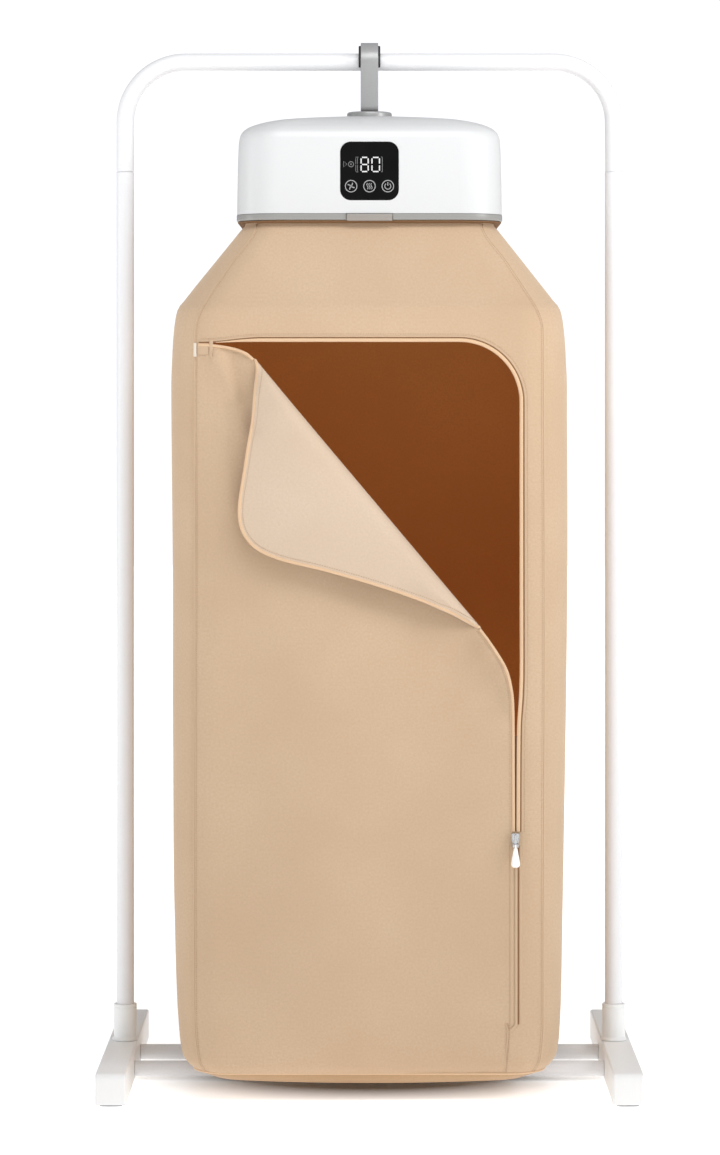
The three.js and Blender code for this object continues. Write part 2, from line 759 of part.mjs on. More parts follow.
// Hanger bracket under the tray with two arms that fold down
const beamHalfX = 12;
const beamTall = 6;
const dropRadius = 9;
const armDrop = 104; // underside of the tray down to the arm pins
const armGap = 59.5; // arm tip to the widest side of the cover
const armTall = 12;
const armHalfY = 5;
const pinRadius = 3;
const pinX = 18;
const clevisX = 27;
const clevisY = 15;
const clevisTall = 24;
const notchCount = 3;
const notchWidth = 9;
const notchDepth = 6;
const notchStart = 60;
const armTip = 24; // last notch to the arm tip
const armReach = coverWidth / 2 - armGap;
const notchPitch = (armReach - pinX - notchStart - armTip) / (notchCount - 1);
const armZ = trayBottom - armDrop;
const beamTop = trayBottom - fit;
const beamReach = lipY - housingWall - fit;
const clevisTop = armZ + clevisTall / 2;
let hub = joined(
  block(-beamHalfX, beamHalfX, -beamReach, beamReach, beamTop - beamTall, beamTop),
  rod(dropRadius, clevisTop - fit, beamTop - beamTall + fit),
  block(-clevisX, clevisX, -clevisY, clevisY, armZ - clevisTall / 2, clevisTop),
);
sidesOf.forEach(([side, sign]) => {
  const slotIn = pinX - armTall / 2 - 2 * fit;
  const slotOut = clevisX + overrun;
  const slotA = Math.min(sign * slotIn, sign * slotOut);
  const slotB = Math.max(sign * slotIn, sign * slotOut);
  const slotTop = armZ + armTall / 2 + fit;
  hub = cut(
    hub,
    block(slotA, slotB, -armHalfY - fit, armHalfY + fit, armZ - clevisTall / 2 - overrun, slotTop),
    rodAlongY(pinRadius + fit, sign * pinX, armZ, -clevisY - overrun, clevisY + overrun, tubeSides),
  );
  add(`arm_pin_${side}`, rodAlongY(pinRadius, sign * pinX, armZ, -clevisY, clevisY, tubeSides), "steel");

  const eye = arc(pinX, armZ, armTall / 2, 90, 270, 6);
  const outline = [...eye, [armReach, armZ - armTall / 2], [armReach, armZ + armTall / 2]];
  for (let i = notchCount - 1; i >= 0; i--) {
    const at = pinX + notchStart + i * notchPitch;
    const top = armZ + armTall / 2;
    outline.push([at + notchWidth / 2, top], [at + notchWidth / 2, top - notchDepth]);
    outline.push([at - notchWidth / 2, top - notchDepth], [at - notchWidth / 2, top]);
  }
  const points = outline.map(([x, z]) => new THREE.Vector2(sign * x, z));
  const arm = cut(
    frontProfile(sign > 0 ? points : points.reverse(), -armHalfY, armHalfY),
    rodAlongY(pinRadius + fit, sign * pinX, armZ, -armHalfY - overrun, armHalfY + overrun, tubeSides),
  );
  add(`arm_${side}`, arm, "grey");
});
add("arm_hub", hub, "grey");

// Neck hoop that the cover is sewn to
const hoopTop = trayBottom - fit;
const hoopTall = 7;
function hoop(x, y, round, z0, z1) {
  const inner = roundedRect(x - hoopThick, y - hoopThick, round - hoopThick);
  return plate(roundedRect(x, y, round), z0, z1, [inner]);
}
const neckHoopRound = neckRound - cloth - fit;
add("neck_hoop", hoop(hoopOuterX, hoopOuterY, neckHoopRound, hoopTop - hoopTall, hoopTop), "steel");

// Cover: panels sewn along the front and rear corners, a floor, and hoops that hold it open
const halfCoverX = coverWidth / 2;
const halfCoverY = coverDepth / 2;
const coverClear = 2; // cover's floor above the bars
const coverBottom = barZ + barRadius + coverClear;
const coverTop = trayBottom - fit;
const coverRound = 65;
const neckStraight = 8;
const shoulderDrop = 116; // neck to the start of the shoulder's rounding
const shoulderZ = coverTop - neckStraight - shoulderDrop;
const floorTray = 9; // height of the turned-up edge of the floor
const pipingZ = coverBottom + floorTray;
const coverHeight = shoulderZ - coverBottom;

// Shares of the half width, half depth and corner radius against the share of the height below the shoulder
const coverShares = [
  [0.84, 0.877, 0.62, 0],
  [0.897, 0.937, 0.74, 0.006],
  [0.938, 0.974, 0.86, 0.0135],
  [0.963, 0.995, 0.94, 0.029],
  [0.971, 1, 0.97, 0.057],
  [0.976, 1, 0.985, 0.149],
  [0.991, 1, 1, 0.5],
  [1, 1, 1, 0.893],
  [0.993, 0.997, 1, 0.945],
  [0.978, 0.983, 0.985, 0.978],
  [0.953, 0.953, 0.955, 1],
];

function coverSections(inset) {
  const sections = coverShares.map(([shareX, shareY, shareR, shareZ]) => {
    const halfX = halfCoverX * shareX - inset;
    const halfY = halfCoverY * shareY - inset;
    const outline = roundedRect(halfX, halfY, coverRound * shareR - inset);
    return { outline, z: coverBottom + coverHeight * shareZ };
  });
  const neck = roundedRect(neckX - inset, neckY - inset, neckRound - inset);
  sections.push({ outline: neck, z: coverTop - neckStraight }, { outline: neck, z: coverTop });
  return sections;
}
const outerCover = lofted(coverSections(0));
const innerSections = coverSections(cloth);
innerSections.push({ outline: innerSections.at(-1).outline, z: coverTop + overrun });
innerSections[0].z = coverBottom + cloth;
const coverWall = outerCover.subtract(lofted(innerSections));
const wide = halfCoverX + overrun;
const deep = halfCoverY + overrun;
const floorPart = block(-wide, wide, -deep, deep, coverBottom - overrun, pipingZ);
add("cover_floor", coverWall.intersect(floorPart), "fabric");

// The four upright seams, seen from the front, lean in over the shoulder
const seamInset = 44; // seam in from the cover's widest side
const seamX = halfCoverX - seamInset;
const neckSeamInset = 16;
const neckSeamX = neckX - neckSeamInset;
function seamOutline(grow) {
  const top = coverTop + overrun;
  const waist = shoulderZ;
  return [
    [-seamX - grow, pipingZ + fit],
    [seamX + grow, pipingZ + fit],
    [seamX + grow, waist],
    [neckSeamX + grow, coverTop - neckStraight],
    [neckSeamX + grow, top],
    [-neckSeamX - grow, top],
    [-neckSeamX - grow, coverTop - neckStraight],
    [-seamX - grow, waist],
  ].map(([x, z]) => new THREE.Vector2(x, z));
}
const middle = neckY - neckRound; // the seams run in front of and behind this depth
const frontPrism = frontProfile(seamOutline(0), -deep, -middle);
const backPrism = frontProfile(seamOutline(0), middle, deep);
const sidePart = cut(
  coverWall,
  block(-wide, wide, -deep, deep, coverBottom - overrun, pipingZ + fit),
  frontProfile(seamOutline(fit), -deep, -middle + fit),
  frontProfile(seamOutline(fit), middle - fit, deep),
);
add("cover_back", coverWall.intersect(backPrism), "fabric");
const leftHalf = block(-wide, 0, -deep, deep, coverBottom, coverTop + overrun);
const rightHalf = block(0, wide, -deep, deep, coverBottom, coverTop + overrun);
add("cover_left", sidePart.intersect(leftHalf), "fabric");
add("cover_right", sidePart.intersect(rightHalf), "fabric");

// Door: its zip runs over the top and down the right, and its cloth is folded back down to the left
const doorLeftInset = 5; // doorway in from the left front seam
const doorRightInset = 32.5; // and from the right one
const doorLeft = -seamX + doorLeftInset;
const doorRight = seamX - doorRightInset;
const doorHigh = 46; // shoulder line down to the top of the doorway
const doorRound = 82;
const doorTop = shoulderZ - doorHigh;
const doorSill = 77; // cover's floor up to the foot of the zip
const doorFoot = coverBottom + doorSill;
const zipWidth = 9;
const zipThick = 2;
const zipInset = 6; // closed zip in from the doorway's right edge
const zipLineX = doorRight - zipInset;
const doorWidth = doorRight - doorLeft;
const doorHeight = doorTop - doorFoot;

// The folded edge runs straight from the door's upper left towards its right side
const foldStartShare = [0.177, 0.026];
const foldEndShare = [0.856, 0.405];
const foldStart = [doorLeft + foldStartShare[0] * doorWidth, doorTop - foldStartShare[1] * doorHeight];
const foldEnd = [doorLeft + foldEndShare[0] * doorWidth, doorTop - foldEndShare[1] * doorHeight];
const along = new THREE.Vector3(foldEnd[0] - foldStart[0], 0, foldEnd[1] - foldStart[1]);
const foldLength = along.length();
along.normalize();
const across = new THREE.Vector3(along.z, 0, -along.x); // away from the fold, down to the left
const foldRadius = 17;
const foldLap = 8; // cloth that lies on the panel before it turns
const foldHalf = foldRadius + cloth / 2;
const coverFront = -halfCoverY;

// A point at a distance across and along from the start of the fold, as x and z
function byFold(acrossBy, alongBy) {
  return new THREE.Vector2(
    foldStart[0] + across.x * acrossBy + along.x * alongBy,
    foldStart[1] + across.z * acrossBy + along.z * alongBy,
  );
}
const rootEdge = foldHalf - cloth;
const doorEdgeZ = doorTop - fit;
const rootRun = (foldStart[1] + across.z * rootEdge - doorEdgeZ) / along.z;
const rootTop = byFold(rootEdge, -rootRun);
const rootSide = byFold(rootEdge, (doorRight - foldStart[0] - across.x * rootEdge) / along.x);
const doorCorner = arc(doorRight - doorRound, doorTop - doorRound, doorRound, 0, 90, 5);
const doorway = [rootTop, rootSide, ...doorCorner.map(([x, z]) => new THREE.Vector2(x, z))];
const doorwayCut = frontProfile(doorway, -deep, coverFront + overrun * 2);
add("cover_front", coverWall.intersect(frontPrism).subtract(doorwayCut), "fabric");

// The curl of cloth at the fold, drawn along it, with a hinge line where the hanging leaf starts
const foldDepth = coverFront - fit - cloth / 2;
const leafDepth = foldDepth - 2 * foldRadius;
const hingeAt = 30;
const leafLean = 2; // the leaf's tip hangs this much further forward
const leafLength = 186;
function foldSolid(path, from, to) {
  const shape = new THREE.Shape(strip(path, cloth));
  const geometry = new THREE.ExtrudeGeometry(shape, { depth: to - from, bevelEnabled: false });
  const basis = new THREE.Matrix4().makeBasis(across, new THREE.Vector3(0, 1, 0), along);
  geometry.translate(0, 0, from);
  geometry.applyMatrix4(basis);
  geometry.translate(foldStart[0], 0, foldStart[1]);
  return solidFrom(geometry);
}
const curlPath = [
  [foldHalf + foldLap, foldDepth],
  ...arc(foldHalf, foldDepth - foldRadius, foldRadius, 90, 270, 8),
  [hingeAt, leafDepth],
];
const curlEndShare = 0.93; // the curl stops short of the fold's pointed end
add("door_fold", foldSolid(curlPath, 0, foldLength * curlEndShare), "lining");

// Shares of the door's width and height for the leaf's free edge, from the fold's start round to its end
const leafShares = [
  [0.172, 0.05],
  [0.163, 0.115],
  [0.136, 0.197],
  [0.125, 0.238],
  [0.125, 0.267],
  [0.134, 0.298],
  [0.184, 0.307],
  [0.233, 0.32],
  [0.408, 0.34],
  [0.583, 0.362],
  [0.722, 0.388],
  [0.76, 0.394],
];
const leafOutline = [
  new THREE.Vector2(foldStart[0], foldStart[1]),
  ...leafShares.map(([sx, sz]) => new THREE.Vector2(doorLeft + sx * doorWidth, doorTop - sz * doorHeight)),
  new THREE.Vector2(foldEnd[0], foldEnd[1]),
];
const leafPath = [
  [hingeAt + fit, leafDepth],
  [hingeAt + leafLength / 2, leafDepth - leafLean / 2],
  [hingeAt + leafLength, leafDepth - leafLean],
];
const leafPrism = frontProfile(leafOutline, leafDepth - overrun * 2, leafDepth + overrun * 2);
add("door_leaf", foldSolid(leafPath, -foldLength, foldLength * 2).intersect(leafPrism), "lining");

// Zip tape over the doorway's top, round its corner and down its right side
const zipX = doorRight + zipWidth / 2 - fit * 2;
const zipTop = doorTop + zipWidth / 2 - fit * 2;
const zipJog = 60; // height over which the tape moves in to the closed zip
const zipPartedShare = 0.5; // height of the doorway at which the zip is parted
const zipParted = doorTop - doorHeight * zipPartedShare;
const zipRound = doorRound + zipWidth / 2;
const zipMid = [
  [zipLineX, doorFoot],
  [zipLineX, zipParted - zipJog],
  [zipX, zipParted],
  ...arc(zipX - zipRound, zipTop - zipRound, zipRound, 0, 90, 6),
  [doorLeft, zipTop],
];
const zipDepth = coverFront - fit;
const zip = frontProfile(strip(zipMid, zipWidth), zipDepth - zipThick, zipDepth);
add("zip_tape", zip, "zip");

// Zip slider and its pull tab
const sliderHalf = 5.5;
const sliderTall = 19;
const sliderThick = 5;
const sliderShare = 0.272; // height of the slider in the doorway
const sliderZ = doorFoot + doorHeight * sliderShare;
const sliderBack = zipDepth - zipThick - fit;
const cheekHalf = 4.5;
const tongueHalf = 1.8;
const eyeRadius = 2.6;
const pinReach = 1.1;
const pullLength = 30;
const pullHalf = 4.6;
const pullThick = 4.4;
const pivotY = sliderBack - sliderThick - eyeRadius - fit;
const pivotZ = sliderZ - sliderTall / 2 + eyeRadius;
let slider = joined(
  block(
    zipLineX - sliderHalf, zipLineX + sliderHalf, sliderBack - sliderThick, sliderBack,
    sliderZ - sliderTall / 2, sliderZ + sliderTall / 2,
  ),
  block(
    zipLineX - cheekHalf, zipLineX + cheekHalf, pivotY - eyeRadius, sliderBack - sliderThick + fit,
    pivotZ - eyeRadius, pivotZ + eyeRadius,
  ),
);
slider = slider.subtract(block(
  zipLineX - tongueHalf - fit, zipLineX + tongueHalf + fit,
  pivotY - eyeRadius - overrun, sliderBack - sliderThick,
  pivotZ - eyeRadius - overrun, pivotZ + eyeRadius + overrun,
));
const pinOutline = circle(pinReach, pinSides, pivotY, pivotZ);
const pullPin = sideProfile(pinOutline, zipLineX - cheekHalf, zipLineX + cheekHalf);
add("zip_slider", slider.add(pullPin), "steel");

const tongueTip = pivotZ - eyeRadius * 2;
const tongue = cut(
  sideProfile(
    [
      ...arc(pivotY, pivotZ, eyeRadius, 0, 180, 6),
      [pivotY - eyeRadius, tongueTip - fit],
      [pivotY + eyeRadius, tongueTip - fit],
    ].map(([y, z]) => new THREE.Vector2(y, z)),
    zipLineX - tongueHalf, zipLineX + tongueHalf,
  ),
  sideProfile(circle(pinReach + fit, pinSides, pivotY, pivotZ), zipLineX - overrun, zipLineX + overrun),
);
const pullTaperShare = 0.6;
const pullWaistShare = 0.62;
const pullTipShare = 0.93;
const pullOutline = [
  [-pullHalf * pullTaperShare, tongueTip],
  [-pullHalf, tongueTip - pullLength * pullWaistShare],
  [-pullHalf * pullTaperShare, tongueTip - pullLength * pullTipShare],
  [pullHalf * pullTaperShare, tongueTip - pullLength * pullTipShare],
  [pullHalf, tongueTip - pullLength * pullWaistShare],
  [pullHalf * pullTaperShare, tongueTip],
].map(([x, z]) => new THREE.Vector2(zipLineX + x, z));
const pullBody = frontProfile(pullOutline, pivotY - pullThick / 2, pivotY + pullThick / 2);
add("zip_pull", tongue.add(pullBody), "white");

// Spring-steel hoop in a hem above the doorway that holds the cover out
const hoopRise = 8; // doorway's top edge up to the hoop
const shoulderHoopZ = doorTop + hoopRise;
const hoopBar = 4;
function coverHalfAt(z) {
  const levels = coverSections(cloth + fit);
  const i = Math.max(1, levels.findIndex((level) => level.z >= z));
  const [low, high] = [levels[i - 1], levels[i]];
  const share = (z - low.z) / (high.z - low.z);
  const extent = (level, key) => Math.max(...level.outline.map((p) => p[key]));
  const mix = (key) => extent(low, key) * (1 - share) + extent(high, key) * share;
  return { x: mix("x"), y: mix("y") };
}
const hoopReach = coverHalfAt(shoulderHoopZ + hoopBar);
const shoulderHoopRound = coverRound - cloth;
const hoopTopZ = shoulderHoopZ + hoopBar;
add("shoulder_hoop", hoop(hoopReach.x, hoopReach.y, shoulderHoopRound, shoulderHoopZ, hoopTopZ), "steel");

export default dryer;
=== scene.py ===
import math

import bmesh
import bpy
import numpy as np
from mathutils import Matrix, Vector, noise
from mathutils.geometry import delaunay_2d_cdt


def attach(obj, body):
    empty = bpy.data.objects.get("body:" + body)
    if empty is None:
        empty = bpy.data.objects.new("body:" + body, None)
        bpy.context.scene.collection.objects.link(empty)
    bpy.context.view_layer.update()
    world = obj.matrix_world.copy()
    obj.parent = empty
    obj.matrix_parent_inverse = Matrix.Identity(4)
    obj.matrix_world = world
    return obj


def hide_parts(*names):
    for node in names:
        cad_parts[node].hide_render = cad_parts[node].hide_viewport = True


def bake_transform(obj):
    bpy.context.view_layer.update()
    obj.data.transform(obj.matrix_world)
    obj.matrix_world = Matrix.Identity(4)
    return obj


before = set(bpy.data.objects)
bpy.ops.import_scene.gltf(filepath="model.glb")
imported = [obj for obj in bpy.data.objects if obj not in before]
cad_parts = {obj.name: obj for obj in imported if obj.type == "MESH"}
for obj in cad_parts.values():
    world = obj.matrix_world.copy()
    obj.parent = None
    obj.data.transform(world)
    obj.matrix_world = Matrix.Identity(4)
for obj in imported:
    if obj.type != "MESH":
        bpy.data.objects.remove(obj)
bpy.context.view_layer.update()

# Camera, level and far back, with its lens shifted down so that the posts stay upright.
camera_data = bpy.data.cameras.new("view_camera")
camera_data.lens = 113.5
camera_data.shift_x = -0.0082
camera_data.shift_y = -0.162
view_camera = bpy.data.objects.new("view_camera", camera_data)
view_camera.location = (0, -5.205, 0.974)
view_camera.rotation_euler = (math.radians(90), 0, 0)
bpy.context.scene.collection.objects.link(view_camera)
bpy.context.scene.camera = view_camera
bpy.context.scene.view_settings.view_transform = "Standard"


def linear(hex_colour):
    """A colour written as sRGB hex, as the shader wants it."""
    parts = [int(hex_colour[i:i + 2], 16) / 255 for i in (1, 3, 5)]
    return [c / 12.92 if c <= 0.04045 else ((c + 0.055) / 1.055) ** 2.4 for c in parts] + [1]


def add_node(tree, kind, inputs=None, feeds=None, **settings):
    """Adds a node with its settings, fills its inputs with values or sockets, and feeds its outputs on."""
    made = tree.nodes.new(kind)
    for name, value in settings.items():
        setattr(made, name, value)
    for name, value in (inputs or {}).items():
        if isinstance(value, bpy.types.NodeSocket):
            tree.links.new(value, made.inputs[name])
        else:
            made.inputs[name].default_value = value
    for name, socket in (feeds or {}).items():
        tree.links.new(made.outputs[name], socket)
    return made


def new_material(name, **shader_inputs):
    """A material with one shader, whose plain inputs are set straight on it."""
    material = bpy.data.materials.new(name)
    material.use_nodes = True
    shader = material.node_tree.nodes["Principled BSDF"]
    for key, value in shader_inputs.items():
        shader.inputs[key.replace("_", " ")].default_value = value
    return material, material.node_tree, shader


def grained(name, low_tone, high_tone, scale, detail=2.0, relief=None, rough=None,
            kind="ShaderNodeTexNoise", bands="X", **shader_inputs):
    """A finish whose tone follows a fine pattern, as do its relief (strength, depth) and its
    roughness (least, most) where they are given."""
    material, tree, shader = new_material(name, **shader_inputs)
    place = add_node(tree, "ShaderNodeTexCoord")
    grain = add_node(tree, kind, {"Vector": place.outputs["Object"], "Scale": scale})
    if kind == "ShaderNodeTexNoise":
        grain.inputs["Detail"].default_value = detail
    if kind == "ShaderNodeTexWave":
        grain.bands_direction = bands
    height = grain.outputs["Distance" if kind == "ShaderNodeTexVoronoi" else "Fac"]
    add_node(tree, "ShaderNodeMix", {0: height, 6: linear(low_tone), 7: linear(high_tone)},
             {2: shader.inputs["Base Color"]}, data_type="RGBA")
    if relief:
        add_node(tree, "ShaderNodeBump", {
            "Height": height, "Strength": relief[0], "Distance": relief[1]},
            {"Normal": shader.inputs["Normal"]})
    if rough:
        add_node(tree, "ShaderNodeMapRange", {"Value": height, "To Min": rough[0], "To Max": rough[1]},
                 {"Result": shader.inputs["Roughness"]})
    return material


# Floor and light: a white paper sweep under the whole dryer, an even white room, and three soft
# boxes: one in front on the right, which leaves the cloth's left side darker, one above the head
# and a weak one at the left that lifts the post and the boot.
bpy.ops.object.select_all(action="DESELECT")
bpy.ops.mesh.primitive_grid_add(x_subdivisions=8, y_subdivisions=8, size=30, location=(0, 0, 0))
floor = bpy.context.object
floor.name = "studio_floor"
paper, paper_tree, paper_shader = new_material(
    "white_sweep_paper", Roughness=0.9, Emission_Color=(1, 1, 1, 1))
paper_grain = add_node(paper_tree, "ShaderNodeTexNoise", {"Scale": 900.0})
add_node(paper_tree, "ShaderNodeMix", {
    0: paper_grain.outputs["Fac"], 6: linear("#F7F7F6"), 7: linear("#FBFBFA")},
    {2: paper_shader.inputs["Base Color"]}, data_type="RGBA")
# The paper glows, which is painted light: no glow in an oval right under the dryer, where its shade shows,
# full glow a little way out and more far off, so that the floor reads white.
paper_place = add_node(paper_tree, "ShaderNodeTexCoord")
paper_oval = add_node(paper_tree, "ShaderNodeVectorMath", {
    0: paper_place.outputs["Object"], 1: (0.6, 1, 1)}, operation="MULTIPLY")
paper_reach = add_node(paper_tree, "ShaderNodeVectorMath", {
    0: paper_oval.outputs["Vector"]}, operation="LENGTH")
paper_near, paper_far = [add_node(paper_tree, "ShaderNodeMapRange", {
    "Value": paper_reach.outputs["Value"], "From Min": start, "From Max": end, "To Max": glow})
    for start, end, glow in ((0.125, 0.215, 0.58), (0.70, 4.0, 0.60))]
add_node(paper_tree, "ShaderNodeMath", {
    0: paper_near.outputs["Result"], 1: paper_far.outputs["Result"]},
    {0: paper_shader.inputs["Emission Strength"]}, operation="ADD")
floor.data.materials.append(paper)

world = bpy.data.worlds.new("white_room")
world.use_nodes = True
room = world.node_tree.nodes["Background"]
room.inputs["Color"].default_value = linear("#FBFCFF")
ray = add_node(world.node_tree, "ShaderNodeLightPath")
add_node(world.node_tree, "ShaderNodeMapRange", {
    "Value": ray.outputs["Is Camera Ray"], "To Min": 0.47, "To Max": 1.1},
    {"Result": room.inputs["Strength"]})
bpy.context.scene.world = world


def soft_box(name, place, aim, width, height, watts):
    """A rectangular soft light that faces a point."""
    light = bpy.data.lights.new(name, "AREA")
    light.shape = "RECTANGLE"
    light.size, light.size_y, light.energy = width, height, watts
    lamp = bpy.data.objects.new(name, light)
    lamp.location = place
    lamp.rotation_euler = (Vector(aim) - Vector(place)).to_track_quat("-Z", "Y").to_euler()
    bpy.context.scene.collection.objects.link(lamp)


soft_box("key_box", (2.6, -1.40, 2.1), (0, 0, 0.9), 1.1, 1.3, 28)
soft_box("top_box", (0.2, -1.40, 2.5), (0, 0, 1.15), 1.7, 0.9, 20)
soft_box("side_box", (-2.5, -0.25, 0.7), (-0.35, 0, 0.5), 0.7, 1.8, 9)

# Stand: a bow of bent steel tube, 25 mm across with a 1.2 mm wall, that plugs onto two straight
# posts of the same tube by a swaged spigot. All three are powder coated white.
tube_radius = 0.0125
tube_wall = 0.0012
post_x = 0.349
rail_z = 1.443
bend_radius = 0.086
joint_z = 1.286
hairline = 0.0003


def only(piece):
    """Makes one object the selected and active one."""
    bpy.ops.object.select_all(action="DESELECT")
    piece.select_set(True)
    bpy.context.view_layer.objects.active = piece


def edit(piece, whole=False):
    """Edit mode on one object, with all of it selected where asked."""
    only(piece)
    bpy.ops.object.mode_set(mode="EDIT")
    if whole:
        bpy.ops.mesh.select_all(action="SELECT")


def pick(piece, kind, test):
    """Selects the vertices, edges or faces whose middle passes a test, in edit mode."""
    bpy.ops.mesh.select_mode(type={"verts": "VERT", "edges": "EDGE", "faces": "FACE"}[kind])
    bpy.ops.mesh.select_all(action="DESELECT")
    mesh = bmesh.from_edit_mesh(piece.data)
    for element in getattr(mesh, kind):
        if kind == "verts":
            element.select_set(test(element.co, element))
        elif kind == "edges":
            element.select_set(test((element.verts[0].co + element.verts[1].co) / 2, element))
        else:
            element.select_set(test(element.calc_center_median(), element))
    mesh.select_flush_mode()
    bmesh.update_edit_mesh(piece.data)


def round_edges(piece, offset, segments, test):
    """Bevels the edges that pass a test."""
    pick(piece, "edges", test)
    bpy.ops.mesh.bevel(offset=offset, segments=segments, affect="EDGES")


def push(x, y, z):
    """Extrudes what is selected by a distance."""
    bpy.ops.mesh.extrude_region_move(TRANSFORM_OT_translate={"value": (x, y, z)})


def grow(x, y, z, middle):
    """Scales what is selected about a place."""
    bpy.ops.transform.resize(value=(x, y, z), center_override=middle)


def settle():
    """Puts the active object's place, turn and size into its mesh."""
    bpy.ops.object.transform_apply(location=True, rotation=True, scale=True)


def smooth(piece, angle=35):
    """Shades a piece smooth over edges that turn by less than an angle."""
    only(piece)
    bpy.ops.object.shade_smooth_by_angle(angle=math.radians(angle))


def close_up(piece, angle=35):
    """Back to object mode: doubles merged, faces outwards, place in the mesh, smooth to an angle."""
    bpy.ops.mesh.select_all(action="SELECT")
    bpy.ops.mesh.remove_doubles(threshold=1e-6)
    bpy.ops.mesh.normals_make_consistent(inside=False)
    bpy.ops.object.mode_set(mode="OBJECT")
    settle()
    smooth(piece, angle)


def modify(piece, kind, **settings):
    """Adds a modifier and applies it."""
    only(piece)
    modifier = piece.modifiers.new(kind.lower(), kind)
    for name, value in settings.items():
        setattr(modifier, name, value)
    bpy.ops.object.modifier_apply(modifier=modifier.name)


def fit_out(piece, name, material, body, slot, *nodes):
    """Names a finished piece and gives it its finish, body and the nodes it stands for; its slot is not
    used.
    """
    piece.name = name
    piece.data.name = name
    piece.data.materials.clear()
    piece.data.materials.append(material)
    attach(piece, body)
    if nodes:
        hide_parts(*nodes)
    return piece


def copy_of(piece, move=(0, 0, 0), mirror=False):
    """Another of the same piece with its own mesh, moved, and mirrored in X where asked."""
    twin = piece.copy()
    twin.data = piece.data.copy()
    bpy.context.scene.collection.objects.link(twin)
    for vertex in twin.data.vertices:
        vertex.co += Vector(move)
        if mirror:
            vertex.co.x = -vertex.co.x
    if mirror:
        edit(twin, whole=True)
        bpy.ops.mesh.flip_normals()
        bpy.ops.object.mode_set(mode="OBJECT")
    return twin


def fit_pair(piece, name, material, slot, node):
    """Fits out a piece of the stand's left side, and its mirrored copy as the right one."""
    twin = copy_of(piece, mirror=True)
    fit_out(piece, name + "_left", material, "stand", slot, node + "_left")
    fit_out(twin, name + "_right", material, "stand", slot, node + "_right")


# Powder-coated steel: a satin white skin with a faint orange peel that breaks up its highlights.
powder_coat = grained(
    "powder_coated_steel", "#E4E4E6", "#EAEAEB", 420.0, relief=(0.12, 0.0004),  # lumps 2.4 mm apart
    Roughness=0.38, IOR=1.5, Coat_Weight=0.15, Coat_Roughness=0.2)

bend_x, bend_z = post_x - bend_radius, rail_z - bend_radius
tube_lead = 0.0006  # small turned-in edge of a cut tube
bpy.ops.object.select_all(action="DESELECT")
bpy.ops.mesh.primitive_circle_add(
    vertices=40, radius=tube_radius - tube_lead, location=(-post_x, 0, joint_z + hairline))
bow = bpy.context.object
edit(bow)
push(0, 0, tube_lead)
swell = tube_radius / (tube_radius - tube_lead)
lead_middle = (-post_x, 0, joint_z + hairline + tube_lead)
grow(swell, swell, 1, lead_middle)
push(0, 0, bend_z - lead_middle[2])
for bend_middle, run_x, run_z in ((-bend_x, 2 * bend_x, 0), (bend_x, 0, lead_middle[2] - bend_z)):
    bpy.ops.mesh.spin(
        steps=22, angle=math.radians(-90), center=(bend_middle, 0, bend_z), axis=(0, 1, 0))
    push(run_x, 0, run_z)
grow(1 / swell, 1 / swell, 1, (post_x, 0, lead_middle[2]))
push(0, 0, -tube_lead)
close_up(bow)
modify(bow, "SOLIDIFY", thickness=tube_wall, offset=-1)
smooth(bow)
fit_out(bow, "rail_bow_tube", powder_coat, "stand", "white_steel", "stand_bow")

spigot_radius = tube_radius - tube_wall - hairline
spigot_rise = 0.045


def turned(name, x, y, sides, profile):
    """A ring of points drawn up and in through (radius, height) steps, as if turned on a lathe."""
    bpy.ops.object.select_all(action="DESELECT")
    radius, height = profile[0]
    bpy.ops.mesh.primitive_circle_add(vertices=sides, radius=radius, location=(x, y, height))
    made = bpy.context.object
    made.name = name
    edit(made)
    bpy.ops.mesh.select_mode(type="VERT")
    bpy.ops.mesh.select_all(action="SELECT")
    for next_radius, next_height in profile[1:]:
        push(0, 0, next_height - height)
        wider = next_radius / radius
        if wider != 1:
            grow(wider, wider, 1, (x, y, next_height))
        radius, height = next_radius, next_height
    close_up(made)
    return made


post_low = 0.0143  # the post's lower end, deep in the foot's socket
post = turned("post", -post_x, 0, 40, [
    (tube_radius - tube_lead, post_low), (tube_radius, post_low + tube_lead),
    (tube_radius, joint_z - hairline - tube_lead), (tube_radius - tube_lead, joint_z - hairline),
    (spigot_radius, joint_z - hairline), (spigot_radius, joint_z + spigot_rise - tube_lead),
    (spigot_radius - tube_lead, joint_z + spigot_rise)])
modify(post, "SOLIDIFY", thickness=tube_wall, offset=-1)
smooth(post)
fit_pair(post, "post_tube", powder_coat, "white_steel", "post")

# Boots: injection-moulded white collars that close the gap between post and foot. Each has a
# flared base and a fine parting groove just under its top edge.
# Moulded plastic: softer gloss than the coated tube and a fine spark-eroded grain.
white_plastic = grained(
    "white_moulded_plastic", "#ECECEB", "#F3F3F2", 1600.0, 1.0, relief=(0.1, 0.0002),  # 0.6 mm grain
    Roughness=0.42, IOR=1.46, Subsurface_Weight=0.03)

boot_base, boot_top = 0.0463, 0.0983
boot_bore, boot_skin, boot_foot = 0.0128, 0.0164, 0.0184
boot = turned("boot", -post_x, 0, 48, [
    (boot_bore, boot_base), (boot_foot - 0.0005, boot_base), (boot_foot, boot_base + 0.0005),
    (boot_foot, boot_base + 0.0024), (boot_skin + 0.0005, boot_base + 0.0044),
    (boot_skin, boot_base + 0.0064), (boot_skin, boot_top - 0.0054),
    (boot_skin - 0.0005, boot_top - 0.0051), (boot_skin - 0.0005, boot_top - 0.0045),
    (boot_skin, boot_top - 0.0042), (boot_skin, boot_top - 0.0012),
    (boot_skin - 0.0004, boot_top - 0.0004), (boot_skin - 0.0012, boot_top),
    (boot_bore + 0.0004, boot_top), (boot_bore, boot_top - 0.0004), (boot_bore, boot_base)])
fit_pair(boot, "boot_collar", white_plastic, "white_plastic", "boot")

